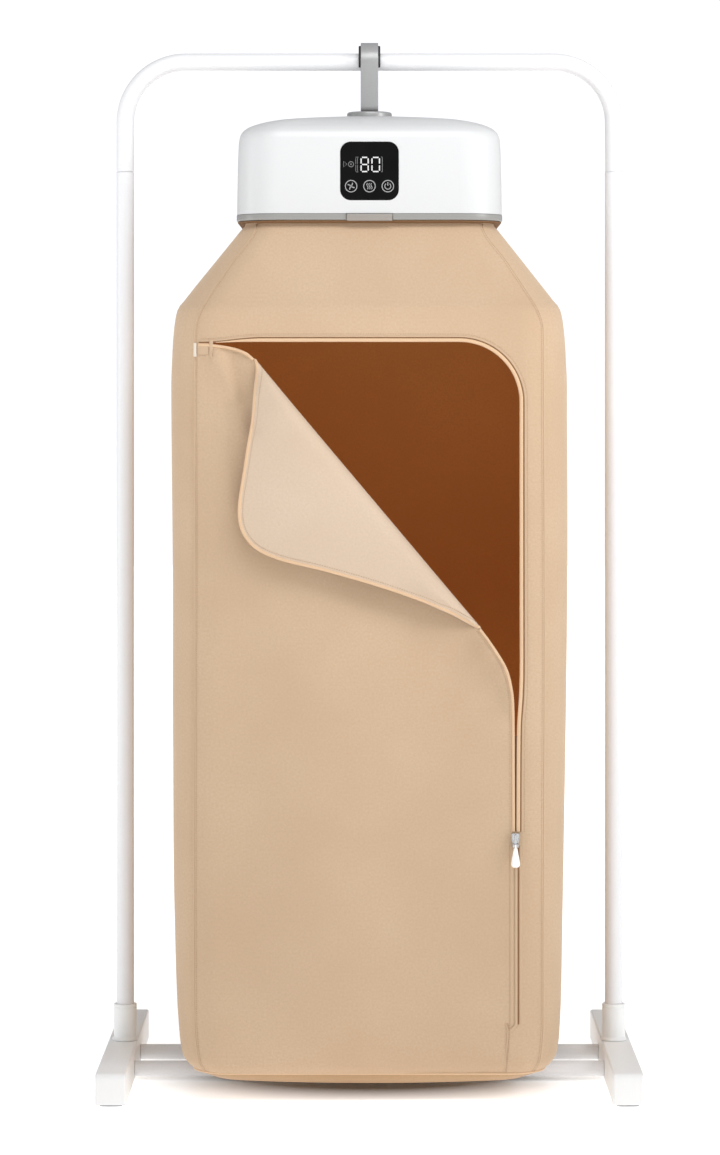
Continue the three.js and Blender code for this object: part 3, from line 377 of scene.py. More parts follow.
# Feet: long moulded beams with rounded toes, a socket for the post, screw holes in the outer
# face, and hollows below that keep the walls even.
foot_x, foot_half_width = 0.352, 0.021
foot_half_length = 0.262
foot_low, foot_top = 0.0033, 0.046
toe_round, foot_edge = 0.008, 0.003
bar_z, bar_y, bar_radius = 0.017, 0.065, 0.011
screw_head_radius, screw_head_depth, screw_shank_radius = 0.0045, 0.003, 0.002
screw_reach, screw_key_depth, screw_key_radius = 0.010, 0.0018, 0.0023


def block(low, high):
    """A box between two corners, its place in its mesh."""
    bpy.ops.object.select_all(action="DESELECT")
    middle = [(a + b) / 2 for a, b in zip(low, high)]
    bpy.ops.mesh.primitive_cube_add(size=1, location=middle)
    made = bpy.context.object
    made.scale = [b - a for a, b in zip(low, high)]
    settle()
    return made


def cut_away(piece, *cutters):
    """Takes the cutters' shapes out of a piece, and the cutters off the bench."""
    for cutter in cutters:
        modify(piece, "BOOLEAN", operation="DIFFERENCE", solver="EXACT", object=cutter)
        bpy.data.objects.remove(cutter)


def rod_between(start, end, radius, sides):
    """A straight closed rod."""
    start, end = Vector(start), Vector(end)
    bpy.ops.object.select_all(action="DESELECT")
    bpy.ops.mesh.primitive_cylinder_add(
        vertices=sides, radius=radius, depth=(end - start).length, location=(start + end) / 2,
        rotation=(end - start).to_track_quat("Z", "Y").to_euler())
    made = bpy.context.object
    settle()
    return made


screw_out, foot_in = -foot_x - foot_half_width, -foot_x + foot_half_width
foot = block((screw_out, -foot_half_length, foot_low), (foot_in, foot_half_length, foot_top))
edit(foot)
round_edges(foot, toe_round, 6, lambda middle, edge: abs(abs(middle.y) - foot_half_length) < 1e-5
            and abs(middle.z - foot_top) < 1e-5)
round_edges(foot, foot_edge, 4, lambda middle, edge: abs(abs(middle.x + foot_x) - foot_half_width) < 1e-5
            and middle.z > foot_low + 1e-4)
close_up(foot, 30)
hollow_side, hollow_roof = foot_half_width - 0.005, foot_top - 0.005
hollow_near, hollow_far = 0.092, 0.2  # the hollow's ends, from the post
socket_low = 0.014
cut_away(foot, rod_between((-post_x, 0, socket_low), (-post_x, 0, 0.06), boot_bore, 40))
for near, far in ((-hollow_far, -hollow_near), (hollow_near, hollow_far)):
    cut_away(foot, block((-foot_x - hollow_side, near, foot_low - 0.01),
                         (-foot_x + hollow_side, far, hollow_roof)))
for hole_end, hole_radius, sides in (
        (screw_out + screw_head_depth + hairline, screw_head_radius + hairline, 28),
        (foot_in + 0.001, screw_shank_radius + hairline, 16)):
    for y in (-bar_y, bar_y):
        cut_away(foot, rod_between((screw_out - 0.001, y, bar_z), (hole_end, y, bar_z),
                                   hole_radius, sides))
smooth(foot, 30)
fit_pair(foot, "foot_beam", white_plastic, "white_plastic", "foot")

# Cross bars: two round coated tubes between the feet, closed at their ends by a plug that takes
# the screw. Each hole goes 1 mm deeper than its screw.
bar_end = foot_x - foot_half_width - hairline
for name, y in (("front", -bar_y), ("rear", bar_y)):
    bar = rod_between((-bar_end, y, bar_z), (bar_end, y, bar_z), bar_radius, 40)
    edit(bar)
    round_edges(bar, tube_lead, 2, lambda middle, edge: abs(abs(middle.x) - bar_end) < 1e-5)
    close_up(bar)
    for way in (-1, 1):
        cut_away(bar, rod_between((way * (bar_end - screw_reach - 0.001), y, bar_z),
                                  (way * (bar_end + 0.001), y, bar_z), screw_shank_radius + hairline, 16))
    smooth(bar)
    fit_out(bar, "cross_bar_" + name, powder_coat, "stand", "white_steel", "bar_" + name)

# Screws: bright zinc-plated steel machine screws with a hexagon socket, one at each end of each
# bar, turned in from the foot's outer face.
# Zinc plating: pale blue-grey metal with faint turning marks.
zinc_steel = grained(
    "zinc_plated_steel", "#A9AEB2", "#C6CACC", 700.0, 3.0, rough=(0.24, 0.42),  # 1.4 mm bloom
    Metallic=1.0)

bar_screw = rod_between((screw_out, -bar_y, bar_z), (screw_out + screw_head_depth, -bar_y, bar_z),
                        screw_head_radius, 24)
edit(bar_screw)
pick(bar_screw, "faces", lambda middle, face: face.normal.x > 0.9)
bpy.ops.mesh.inset(thickness=screw_head_radius - screw_shank_radius)
push(-bar_end + screw_reach - screw_out - screw_head_depth, 0, 0)
round_edges(bar_screw, 0.0006, 3, lambda middle, edge: abs(middle.x - screw_out) < 1e-6)
close_up(bar_screw, 40)
cut_away(bar_screw, rod_between((screw_out - 0.001, -bar_y, bar_z),
                                (screw_out + screw_key_depth, -bar_y, bar_z), screw_key_radius, 6))
smooth(bar_screw, 40)
for end, shift in (("front", 0), ("rear", 2 * bar_y)):
    for side, mirror in (("left", False), ("right", True)):
        twin = copy_of(bar_screw, (0, shift, 0), mirror)
        fit_out(twin, f"bar_bolt_{end}_{side}", zinc_steel, "stand", "bare_steel",
                f"bar_screw_{end}_{side}")
bpy.data.objects.remove(bar_screw)

# Pads: moulded black rubber glued under the toes. The CAD shape is right and takes the rubber.
# Rubber: nearly black, matt, with a fine moulded grain.
rubber = grained(
    "moulded_black_rubber", "#1D1D1E", "#2A2A2B", 1300.0, relief=(0.25, 0.0003),  # 0.8 mm grain
    Roughness=0.72, IOR=1.52)


def dress(material, *nodes):
    """Gives CAD nodes whose shape is right a finish of their own."""
    for node in nodes:
        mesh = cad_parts[node].data
        mesh.materials.clear()
        mesh.materials.append(material)


dress(rubber, "pad_front_left", "pad_front_right", "pad_rear_left", "pad_rear_right")

# Hook: a steel strap, 25 mm by 4, bent over the rail and turned in at its foot, where the swivel
# stud goes through it. It and the round collar below are painted a satin mid grey.
# Satin paint on steel: even grey, soft broad highlight, very fine spray texture.
grey_paint = grained(
    "satin_grey_paint", "#9A9A9A", "#A9A9A9", 900.0, relief=(0.12, 0.0003),  # 1.1 mm spray mottle
    Roughness=0.34, IOR=1.5, Metallic=0.25)

strap_width, strap_thick = 0.025, 0.004
saddle_thick, stud_hole = 0.0105, 0.0053
strap_arch = tube_radius + saddle_thick + 2 * hairline + strap_thick / 2
collar_top = rail_z - 0.072
tab_z = collar_top + hairline + strap_thick / 2
strap_bend = 0.006
tab_back = 0.0158  # the tab's end behind the stud
strap = block((-strap_width / 2, tab_back, tab_z - strap_thick / 2),
              (strap_width / 2, tab_back + 0.0002, tab_z + strap_thick / 2))
edit(strap)
pick(strap, "faces", lambda middle, face: face.normal.y < -0.9)
push(0, -tab_back - strap_arch + strap_bend, 0)
bpy.ops.mesh.spin(steps=8, angle=math.radians(90), axis=(1, 0, 0),
                  center=(0, -strap_arch + strap_bend, tab_z + strap_bend))
push(0, 0, rail_z - tab_z - strap_bend)
bpy.ops.mesh.spin(steps=28, angle=math.radians(180), axis=(1, 0, 0), center=(0, 0, rail_z))
for step in ((0, 0, -0.0178), (0, 0.0036, -0.0078), (0, 0.0004, -0.0004)):  # the flared free end
    push(*step)
round_edges(strap, 0.0008, 3, lambda middle, edge: edge.calc_face_angle(0) > math.radians(50))
close_up(strap)
cut_away(strap, rod_between((0, 0, tab_z - 0.01), (0, 0, tab_z + 0.01), stud_hole, 32))
smooth(strap)
fit_out(strap, "hook_bent_strap", grey_paint, "hook", "hook_grey", "hook_strap")

# Saddle: a thick C of soft rubber pushed on the rail inside the strap. It lets the hook slide
# without scratching the paint.
saddle_width, saddle_wrap = 0.031, math.radians(25)
saddle_middle = tube_radius + hairline + saddle_thick / 2
bpy.ops.object.select_all(action="DESELECT")
bpy.ops.mesh.primitive_plane_add(size=1, rotation=(-saddle_wrap, 0, 0), location=(
    0, saddle_middle * math.cos(saddle_wrap), rail_z - saddle_middle * math.sin(saddle_wrap)))
saddle = bpy.context.object
saddle.scale = (saddle_width, saddle_thick, 1)
settle()
edit(saddle, whole=True)
bpy.ops.mesh.spin(steps=40, angle=-(math.pi + 2 * saddle_wrap), axis=(1, 0, 0), center=(0, 0, rail_z))
round_edges(saddle, 0.0012, 3, lambda middle, edge: edge.calc_face_angle(0) > math.radians(50))
close_up(saddle)
fit_out(saddle, "hook_rubber_saddle", rubber, "hook", "black_rubber", "hook_saddle")

# Collar: a turned disc with a rounded top edge that spreads the head's weight.
collar_radius = 0.032
collar_low = collar_top - 0.008
collar = turned("collar", 0, 0, 72, [
    (stud_hole, collar_low), (collar_radius - 0.0005, collar_low), (collar_radius, collar_low + 0.0005),
    (collar_radius, collar_top - 0.0025), (collar_radius - 0.0004, collar_top - 0.0014),
    (collar_radius - 0.0012, collar_top - 0.0005), (collar_radius - 0.0026, collar_top),
    (stud_hole, collar_top), (stud_hole, collar_low)])
fit_out(collar, "hook_round_collar", grey_paint, "hook", "hook_grey", "hook_collar")

# Swivel: a shouldered steel stud through strap, collar and crown with a nut inside the head. Both
# CAD shapes are right and take the zinc finish.
dress(zinc_steel, "swivel_stud", "swivel_nut")

# Head shell: a rounded box moulded in white ABS, walls 3 mm thick, drawn in to a shallow crown.
# It has a window for the panel in front and openings for the air filter and cord gland behind.
# ABS: a white with a soft sheen and a very fine moulded grain, set greyer than the other white mouldings as
# painted shade that holds back the strong lamp light on the head.
white_abs = grained(
    "white_moulded_abs", "#D1D1D1", "#D6D6D6", 1400.0, relief=(0.08, 0.0002),  # 0.7 mm grain
    Roughness=0.36, IOR=1.54, Subsurface_Weight=0.02)

head_x, head_y, head_round = 0.186, 0.150, 0.060
head_low, head_top, head_wall = 1.22, 1.3627, 0.003
head_rows = [  # height share, then shares of the half width and half depth
    (0, 1, 1), (0.56, 0.992, 1), (0.73, 0.984, 1), (0.79, 0.972, 0.985), (0.845, 0.935, 0.94),
    (0.895, 0.855, 0.85), (0.945, 0.7, 0.68), (0.98, 0.46, 0.43), (1, 0.23, 0.27)]


def held(value, low=0, high=1):
    """A value kept between two limits."""
    return min(max(value, low), high)


def eased(rows, at):
    """A table's values at any place between its rows, on a smooth curve that never overshoots."""
    steps = [b[0] - a[0] for a, b in zip(rows, rows[1:])]
    i = max(k for k in range(len(steps)) if k == 0 or at >= rows[k][0])
    t = held((at - rows[i][0]) / steps[i])
    values = []
    for column in range(1, len(rows[0])):
        rises = [(b[column] - a[column]) / step for a, b, step in zip(rows, rows[1:], steps)]

        def tilt(k):
            if k == 0 or k == len(steps):
                return rises[min(k, len(steps) - 1)]
            before, after = rises[k - 1], rises[k]
            return 0 if before * after <= 0 else 2 * before * after / (before + after)

        low, high = rows[i][column], rows[i + 1][column]
        values.append((2 * t ** 3 - 3 * t ** 2 + 1) * low + (3 * t ** 2 - 2 * t ** 3) * high
                      + (t ** 3 - 2 * t ** 2 + t) * steps[i] * tilt(i)
                      + (t ** 3 - t ** 2) * steps[i] * tilt(i + 1))
    return values


def rounded_sheet(half_x, half_y, radius, z, segments=14):
    """A flat sheet with rounded corners, left in edit mode and selected, ready to be drawn up."""
    bpy.ops.object.select_all(action="DESELECT")
    bpy.ops.mesh.primitive_plane_add(size=1, location=(0, 0, z))
    made = bpy.context.object
    made.scale = (2 * half_x, 2 * half_y, 1)
    settle()
    edit(made, whole=True)
    bpy.ops.mesh.bevel(offset=radius, segments=segments, affect="VERTICES")
    bpy.ops.mesh.select_all(action="SELECT")
    return made


def outwards(piece):
    """Turns a closed piece's faces outwards."""
    edit(piece, whole=True)
    bpy.ops.mesh.normals_make_consistent(inside=False)
    bpy.ops.object.mode_set(mode="OBJECT")


def rounded_plug(x, y_front, y_back, z, half_x, half_z, radius):
    """A rounded-square prism that runs from front to back."""
    made = rounded_sheet(half_x, half_z, radius, 0)
    push(0, 0, y_back - y_front)
    close_up(made)
    for vertex in made.data.vertices:
        vertex.co = (vertex.co.x + x, vertex.co.z + y_front, vertex.co.y + z)
    outwards(made)
    return made


shell = rounded_sheet(head_x, head_y, head_round, head_low)
bpy.ops.mesh.delete(type="ONLY_FACE")
bpy.ops.mesh.select_all(action="SELECT")
before = (0, 1, 1)
crown_steps = [0.004, 0.2, 0.4, 0.56, 0.65, 0.73] + [0.745 + 0.255 * k / 26 for k in range(27)]
for share in crown_steps:
    wide, deep = eased(head_rows, share)
    z = head_low + share * (head_top - head_low)
    push(0, 0, (share - before[0]) * (head_top - head_low))
    grow(wide / before[1], deep / before[2], 1, (0, 0, z))
    before = (share, wide, deep)
for shrink in (0.6, 0.5, 0.42):  # on to the stud's hole
    bpy.ops.mesh.extrude_region_move()
    grow(shrink, shrink, 1, (0, 0, head_top))
bpy.ops.mesh.select_all(action="SELECT")
bpy.ops.mesh.normals_make_consistent(inside=False)
bpy.ops.object.mode_set(mode="OBJECT")
modify(shell, "SOLIDIFY", thickness=head_wall, offset=-1)
panel_half, panel_round, panel_z = 0.0405, 0.0145, 1.2787
intake_half_x, intake_half_z, intake_z, intake_round = 0.075, 0.030, 1.2797, 0.008
gland_x, gland_z, gland_radius = 0.110, 1.2537, 0.007
cut_away(
    shell,
    rounded_plug(0, -head_y - 0.01, -head_y + 0.006, panel_z, panel_half + hairline,
                 panel_half + hairline, panel_round + hairline),
    rounded_plug(0, head_y - 0.006, head_y + 0.01, intake_z, intake_half_x + hairline,
                 intake_half_z + hairline, intake_round + hairline),
    rod_between((gland_x, head_y - 0.01, gland_z), (gland_x, head_y + 0.01, gland_z),
                gland_radius + hairline, 32))
smooth(shell, 28)
fit_out(shell, "head_top_shell", white_abs, "unit", "white_plastic", "head_shell")

# Base tray: grey ABS. Only its rim shows, a narrow band under the white shell. Its lip below takes
# the cover's neck and its middle is open for the warm air.
# Grey ABS: mid grey, a little glossier than the shell, with the same grain.
grey_abs = grained(
    "grey_moulded_abs", "#8C8B88", "#999895", 1400.0, relief=(0.1, 0.0002),  # 0.7 mm grain
    Roughness=0.3, IOR=1.54)

rim_x, rim_y, rim_round = 0.1865, 0.1505, 0.0605
rim_low, rim_top = 1.2107, 1.2197
outlet_x, outlet_y = 0.1, 0.07
clip_half, clip_back = 0.0325, -0.148
tray = rounded_sheet(rim_x, rim_y, rim_round, rim_low, 20)
push(0, 0, rim_top - rim_low)
round_edges(tray, 0.0012, 3, lambda middle, edge: edge.calc_face_angle(0) > math.radians(60)
            and abs(edge.verts[0].co.z - edge.verts[1].co.z) < 1e-6)
close_up(tray, 30)
lip_x, lip_y, lip_round, lip_wall = 0.1677, 0.1317, 0.0442, 0.003
lip_fall = 0.009
lip = rounded_sheet(lip_x, lip_y, lip_round, rim_low - lip_fall)
push(0, 0, lip_fall + 0.0005)
close_up(lip, 30)
modify(tray, "BOOLEAN", operation="UNION", solver="EXACT", object=lip)
bpy.data.objects.remove(lip)
cut_away(
    tray,
    block((-outlet_x, -outlet_y, rim_low - 0.02), (outlet_x, outlet_y, rim_top + 0.01)),
    block((-clip_half - hairline, -rim_y - 0.01, rim_low - 0.01),
          (clip_half + hairline, clip_back + hairline, rim_top + 0.01)))
hollow = rounded_sheet(lip_x - lip_wall, lip_y - lip_wall, lip_round - lip_wall, rim_low - 0.02)
push(0, 0, 0.02)
close_up(hollow, 30)
cut_away(tray, hollow)
smooth(tray, 30)
fit_out(tray, "head_base_tray", grey_abs, "unit", "grey_plastic", "base_tray")

# Neck clip: a separate grey moulding in the middle of the rim's front. A push on it tilts it out
# and frees the cover's hoop. It hangs a little lower than the rim.
# Warm grey ABS: paler than the tray, with the same fine moulded grain.
clip_abs = grained(
    "warm_grey_abs", "#8F8983", "#9B958F", 1400.0, Roughness=0.36, IOR=1.54)  # 0.7 mm grain
clip_front, clip_low, clip_top = -0.153, 1.2094, 1.2192
clip = block((-clip_half + 0.0007, clip_front, clip_low), (clip_half - 0.0007, clip_back, clip_top))
edit(clip, whole=True)
bpy.ops.mesh.bevel(offset=0.0009, segments=3, affect="EDGES")
close_up(clip, 30)
fit_out(clip, "neck_release_clip", clip_abs, "clip", "grey_plastic", "neck_clip")

# Control panel: a black glass tile, 81 mm square, set almost flush in the shell with a ground edge.
# Glass over black print: deep black with sharp reflections and barely visible smears.
black_glass = grained(
    "black_backed_glass", "#030303", "#0A0A0A", 45.0, 3.0, rough=(0.06, 0.2),  # 22 mm finger smears
    IOR=1.52, Specular_IOR_Level=0.2)

panel_front, panel_thick = -0.1504, 0.0025
glass = rounded_plug(0, panel_front, panel_front + panel_thick, panel_z, panel_half, panel_half,
                     panel_round)
edit(glass)
round_edges(glass, 0.0005, 2, lambda middle, edge: abs(middle.y - panel_front) < 1e-6)
close_up(glass, 30)
fit_out(glass, "control_glass_tile", black_glass, "unit", "black_glass", "panel_glass")

# Marks on the glass: the lit number, a few dim display segments and signs beside it, and three
# ringed touch keys with plain signs for air, warmth and power. All are screen printed, 0.1 mm thick.
# Printed ink: flat light grey, faintly glowing where the display lights it from behind.
ink_dots = 2500.0  # 0.4 mm unevenness of the print
lit_ink = grained("lit_display_segments", "#B9B9B9", "#D2D2D2", ink_dots, Roughness=0.5,
                  Emission_Strength=0.25, Emission_Color=linear("#C8C8C8"))
key_ink = grained("printed_key_marks", "#8C8C8C", "#A4A4A4", ink_dots, Roughness=0.55)
dim_ink = grained("unlit_display_segments", "#5A5A5A", "#727272", ink_dots, Roughness=0.55)

ink_thick = 0.0001
number_rise, key_drop = 0.0089, 0.0212


def from_points(name, vertices, faces):
    """A new piece from its vertices and faces."""
    mesh = bpy.data.meshes.new(name)
    mesh.from_pydata(vertices, [], faces)
    made = bpy.data.objects.new(name, mesh)
    bpy.context.scene.collection.objects.link(made)
    return made


def printed(name, strokes, ink):
    """Marks drawn as strokes of (points, width) from the panel's middle, each a thin flat ribbon."""
    vertices, faces = [], []
    for points, width in strokes:
        closed = points[0] == points[-1]
        path = [Vector(p) for p in (points[:-1] if closed else points)]
        count, first = len(path), len(vertices)
        for i, point in enumerate(path):
            back = path[i - 1] if closed or i else path[i]
            ahead = path[(i + 1) % count] if closed or i < count - 1 else path[i]
            run = (ahead - back).normalized()
            across = Vector((-run.y, run.x)) * width / 2
            for edge in (point + across, point - across):
                for y in (panel_front, panel_front - ink_thick):
                    vertices.append((edge.x, y, edge.y + panel_z))
        for i in range(count if closed else count - 1):
            a, b = first + 4 * i, first + 4 * ((i + 1) % count)
            faces += [(a, b, b + 1, a + 1), (a + 1, b + 1, b + 3, a + 3),
                      (a + 3, b + 3, b + 2, a + 2), (a + 2, b + 2, b, a)]
        if not closed:
            last = first + 4 * (count - 1)
            faces += [(first, first + 1, first + 3, first + 2), (last + 2, last + 3, last + 1, last)]
    made = from_points(name, vertices, faces)
    outwards(made)
    fit_out(made, name, ink, "unit", "black_glass")


def ring_points(x, z, radius, start=0, end=360, steps=40):
    """Points on a circle or an arc, angles in degrees. A circle ends on its first point."""
    turns = [math.radians(start + (end - start) * k / steps) for k in range(steps + 1)]
    points = [(x + radius * math.cos(turn), z + radius * math.sin(turn)) for turn in turns]
    return points[:-1] + points[:1] if end - start == 360 else points


digit_half, fine = 0.0098, 0.0008  # half a digit's height, the dim marks' line


def digit_strokes(x, half_w, segments, width):
    """The named bars of a seven-bar number: top, middle, bottom, and the four uprights."""
    gap = width * 0.75
    high, low = number_rise + digit_half, number_rise - digit_half
    bars = {}
    for name, z in (("top", high), ("middle", number_rise), ("bottom", low)):
        bars[name] = [(x - half_w + gap, z), (x + half_w - gap, z)]
    for side, bar_x in (("left", x - half_w), ("right", x + half_w)):
        bars["upper_" + side] = [(bar_x, number_rise + gap), (bar_x, high - gap)]
        bars["lower_" + side] = [(bar_x, low + gap), (bar_x, number_rise - gap)]
    return [(bars[name], width) for name in segments]


uprights = ["upper_left", "upper_right", "lower_left", "lower_right"]
printed("display_number", [
    *digit_strokes(-0.0067, 0.0049, ["top", "middle", "bottom"] + uprights, 0.0017),
    *digit_strokes(0.0087, 0.0052, ["top", "bottom"] + uprights, 0.0017)], lit_ink)
ghosts = []
for x in (-0.0175, -0.0151):
    ghosts += digit_strokes(x, 0.0016, ["upper_left", "lower_left"], fine)
for left, right in ((-0.0189, -0.0154), (0.0160, 0.0180)):
    for z in (number_rise + 0.0102, number_rise - 0.0102):
        ghosts += [([(left, z), (right, z)], fine)]
ghosts += [
    ([(0.0178, number_rise - digit_half), (0.0178, number_rise + digit_half)], 0.0010),
    ([(-0.0358, number_rise - 0.0034), (-0.0358, number_rise + 0.0044),
      (-0.0312, number_rise + 0.0005), (-0.0358, number_rise - 0.0034)], 0.0010),
    (ring_points(-0.0256, number_rise + 0.0003, 0.0036, steps=24), 0.0011),
    (ring_points(-0.0256, number_rise + 0.0003, 0.0009, steps=12), fine)]
printed("display_ghosts", ghosts, dim_ink)
key_x = 0.0255
keys = [(ring_points(x, -key_drop, 0.0080), 0.0012) for x in (-key_x, 0, key_x)]
for turn in (45, 135, 225, 315):
    blade = math.radians(turn)
    keys += [([(-key_x + r * math.cos(blade + r * 70), -key_drop + r * math.sin(blade + r * 70))
               for r in (0.0012, 0.0025, 0.0038, 0.0052)], 0.0014)]
keys += [(ring_points(-key_x, -key_drop, 0.0011, steps=16), 0.0008)]
for shift in (-0.0028, 0, 0.0028):
    keys += [([(shift + 0.0009 * math.sin(k * math.pi / 4), -key_drop - 0.0042 + 0.00105 * k)
               for k in range(9)], 0.0010)]
keys += [(ring_points(key_x, -key_drop, 0.0042, 125, 415, 30), 0.0011),
         ([(key_x, -key_drop + 0.0008), (key_x, -key_drop + 0.0055)], 0.0012)]
printed("touch_key_signs", keys, key_ink)

# Inner pieces of the head, hidden when it is whole: their CAD shapes stay and take their finishes.
# Dark glass-filled plastic: charcoal, matt, with faint flow marks.
dark_plastic = grained(
    "glass_filled_nylon", "#2E2F30", "#3B3C3D", 300.0, 3.0, relief=(0.15, 0.0004),  # 3 mm flow marks
    Roughness=0.55, IOR=1.53)
dress(dark_plastic, "outlet_grille", "heater_frame", "fan_duct", "fan_impeller", "intake_grille",
      "motor_bracket")

# Folded aluminium fins: bright, with fine ridges 1.5 mm apart.
aluminium = grained(
    "folded_aluminium_fins", "#8D9092", "#C9CCCE", 210.0, relief=(0.6, 0.001),  # 1.5 mm pitch
    kind="ShaderNodeTexWave", Metallic=1.0, Roughness=0.38)
dress(aluminium, "heater_core")

# Circuit boards: green solder mask with a pattern of copper tracks under it.
board, board_tree, board_shader = new_material("solder_masked_board", Roughness=0.35, IOR=1.5)
add_node(board_tree, "ShaderNodeTexBrick", {
    "Vector": add_node(board_tree, "ShaderNodeTexCoord").outputs["Object"], "Scale": 120.0,
    "Mortar Size": 0.03, "Color1": linear("#1E5A35"), "Color2": linear("#23663C"),
    "Mortar": linear("#3B8A57")}, {"Color": board_shader.inputs["Base Color"]})
dress(board, "display_board", "power_board")

# Motor can and shaft, case screws, arm pins and the neck's spring hoop: plated steel.
dress(zinc_steel, "fan_motor", "fan_shaft", "case_screw_front_left", "case_screw_front_right",
      "case_screw_rear_left", "case_screw_rear_right", "arm_pin_left", "arm_pin_right",
      "neck_hoop")

# Air filter: open grey foam behind the intake grille.
foam = grained(
    "open_cell_foam", "#2B2C2E", "#5C5E61", 700.0, relief=(0.8, 0.0012),  # cells 1.4 mm apart
    kind="ShaderNodeTexVoronoi", Roughness=0.95)
dress(foam, "intake_filter")
dress(rubber, "cord_gland")

# Hanger arms: two notched white arms that fold down on pins from a hub under the head. Their CAD
# shapes stay and take the moulded plastic.
dress(white_plastic, "arm_hub", "arm_left", "arm_right")

# Cover: a cabinet sewn from beige polyester cloth, one panel to each side and one for the floor,
# hung by its neck from the tray and kept square by two spring-steel hoops. The front panel goes on
# at its left and below as part of the door; its cut-out is where the door is peeled back.
cloth_thick = 0.0014


def woven(name, low_tone, high_tone, strength, depth, **shader_inputs):
    """Cloth: threads both ways, cloudy colour and thick threads here and there, on its flat map."""
    material, tree, shader = new_material(name, IOR=1.45, **shader_inputs)
    flat = add_node(tree, "ShaderNodeUVMap", uv_map="flat").outputs["UV"]
    warp, weft = [add_node(tree, "ShaderNodeTexWave", {
        "Vector": flat, "Scale": 262.0, "Distortion": 0.6, "Detail Scale": 3.0},
        bands_direction=way).outputs["Fac"] for way in "XY"]  # 1.2 mm pitch
    threads = add_node(tree, "ShaderNodeMath", {0: warp, 1: weft}, operation="MULTIPLY")
    cloud = add_node(tree, "ShaderNodeTexNoise", {"Vector": flat, "Scale": 6.0, "Detail": 3.0})
    slub = add_node(tree, "ShaderNodeTexNoise", {  # 3 mm slubs on 170 mm clouds
        "Vector": flat, "Scale": 320.0, "Detail": 2.0}).outputs["Fac"]
    shade = add_node(tree, "ShaderNodeMath", {0: cloud.outputs["Fac"], 1: slub}, operation="MULTIPLY")
    lift = add_node(tree, "ShaderNodeMapRange", {
        "Value": shade.outputs[0], "From Min": 0.08, "From Max": 0.44})
    add_node(tree, "ShaderNodeMix", {
        0: lift.outputs["Result"], 6: linear(low_tone), 7: linear(high_tone)},
        {2: shader.inputs["Base Color"]}, data_type="RGBA")
    relief = add_node(tree, "ShaderNodeMath", {0: threads.outputs[0], 1: slub}, operation="ADD")
    add_node(tree, "ShaderNodeBump", {
        "Height": relief.outputs[0], "Strength": strength, "Distance": depth},
        {"Normal": shader.inputs["Normal"]})
    return material


# Woven polyester: warm beige with a soft sheen at grazing light, fine threads, faint slubs. The
# threads are drawn 1.2 mm apart, coarser than the real 0.4 mm, so that they show at all.
fabric = woven("woven_beige_polyester", "#BFA284", "#C9AF92", 0.22, 0.0003, Roughness=0.82,
               Sheen_Weight=0.35, Sheen_Roughness=0.45, Sheen_Tint=linear("#F3E2CC"))
# Inner face: a brown painted shade for the cover's dim inside, with a faint orange glow that is painted
# light for the daylight coming through the thin cloth; seen only from inside.
inner_shade_cloth = woven("inner_face_painted_shade_glow", "#C4843F", "#D0914B", 0.15, 0.0002, Roughness=0.7,
               Emission_Color=linear("#FFA758"), Emission_Strength=0.06)
# Floor panel: the same yarn in a darker tone, painted shade for its band under the piping, which the
# glowing floor would otherwise light.
shaded_floor_cloth = woven("floor_cloth_painted_shade", "#AD8C68", "#B89874", 0.22, 0.0003, Roughness=0.85,
               Sheen_Weight=0.2, Sheen_Roughness=0.45)

cover_low, shoulder_z, neck_low, neck_top = 0.030, 1.0864, 1.2072, 1.2104
piping_z = 0.039
half_wide, half_deep, cover_round = 0.2725, 0.235, 0.065
cover_shares = [  # height share, then shares of half width, half depth and corner radius
    (0, 0.800, 0.860, 0.62), (0.006, 0.868, 0.925, 0.74), (0.0135, 0.914, 0.958, 0.86),
    (0.029, 0.9495, 0.982, 0.94), (0.057, 0.9615, 0.994, 0.97), (0.149, 0.973, 1, 0.985),
    (0.5, 0.991, 1, 1), (0.893, 1, 1, 1), (0.945, 0.992, 0.997, 1), (0.978, 0.981, 0.983, 0.985),
    (1, 0.9645, 0.953, 0.955)]
cover_rows = [(cover_low + share * (shoulder_z - cover_low), half_wide * wide, half_deep * deep,
               cover_round * bend) for share, wide, deep, bend in cover_shares]
neck_row = (neck_low, 0.1735, 0.1375, 0.050)
for part in (0.1, 0.94):
    cover_rows.append(tuple(a + (b - a) * part for a, b in zip(cover_rows[10], neck_row)))
cover_rows += [neck_row, (neck_top,) + neck_row[1:]]
seam_rows = [(cover_low, 0.214), (piping_z, 0.226), (0.06, 0.2345), (0.11, 0.2375),
             (1.040, 0.2382), (1.0603, 0.2378), (1.075, 0.2345), (shoulder_z, 0.2298),
             (1.0969, 0.2240), (1.15, 0.1912), (neck_low, 0.1575), (neck_top, 0.1575)]


def section(z):
    """Half width, half depth and corner radius of the cover at a height."""
    return eased(cover_rows, z)


def seam_at(z):
    """How far from the middle the front and back seams run at a height."""
    return eased(seam_rows, z)[0]


def rumple(x, y, z):
    """How far the cloth stands out of its even shape: soft, never inwards, nothing at its hems."""
    hold = held((z - piping_z) / 0.09) * held((neck_low - z) / 0.09)
    broad = noise.noise(Vector((x * 3.4, y * 3.4, z * 2.1)))
    small = noise.noise(Vector((x * 11, y * 11, z * 5)) + Vector((7, 3, 5)))
    if y < 0:  # the zip's straight run lies flat, so that its slider passes
        hold *= 1 - held((0.57 - z) / 0.05) * max(1 - abs(x - 0.2) / 0.03, 0)
    return hold * (0.0022 * (broad + 0.6) + 0.0006 * (small + 0.6))


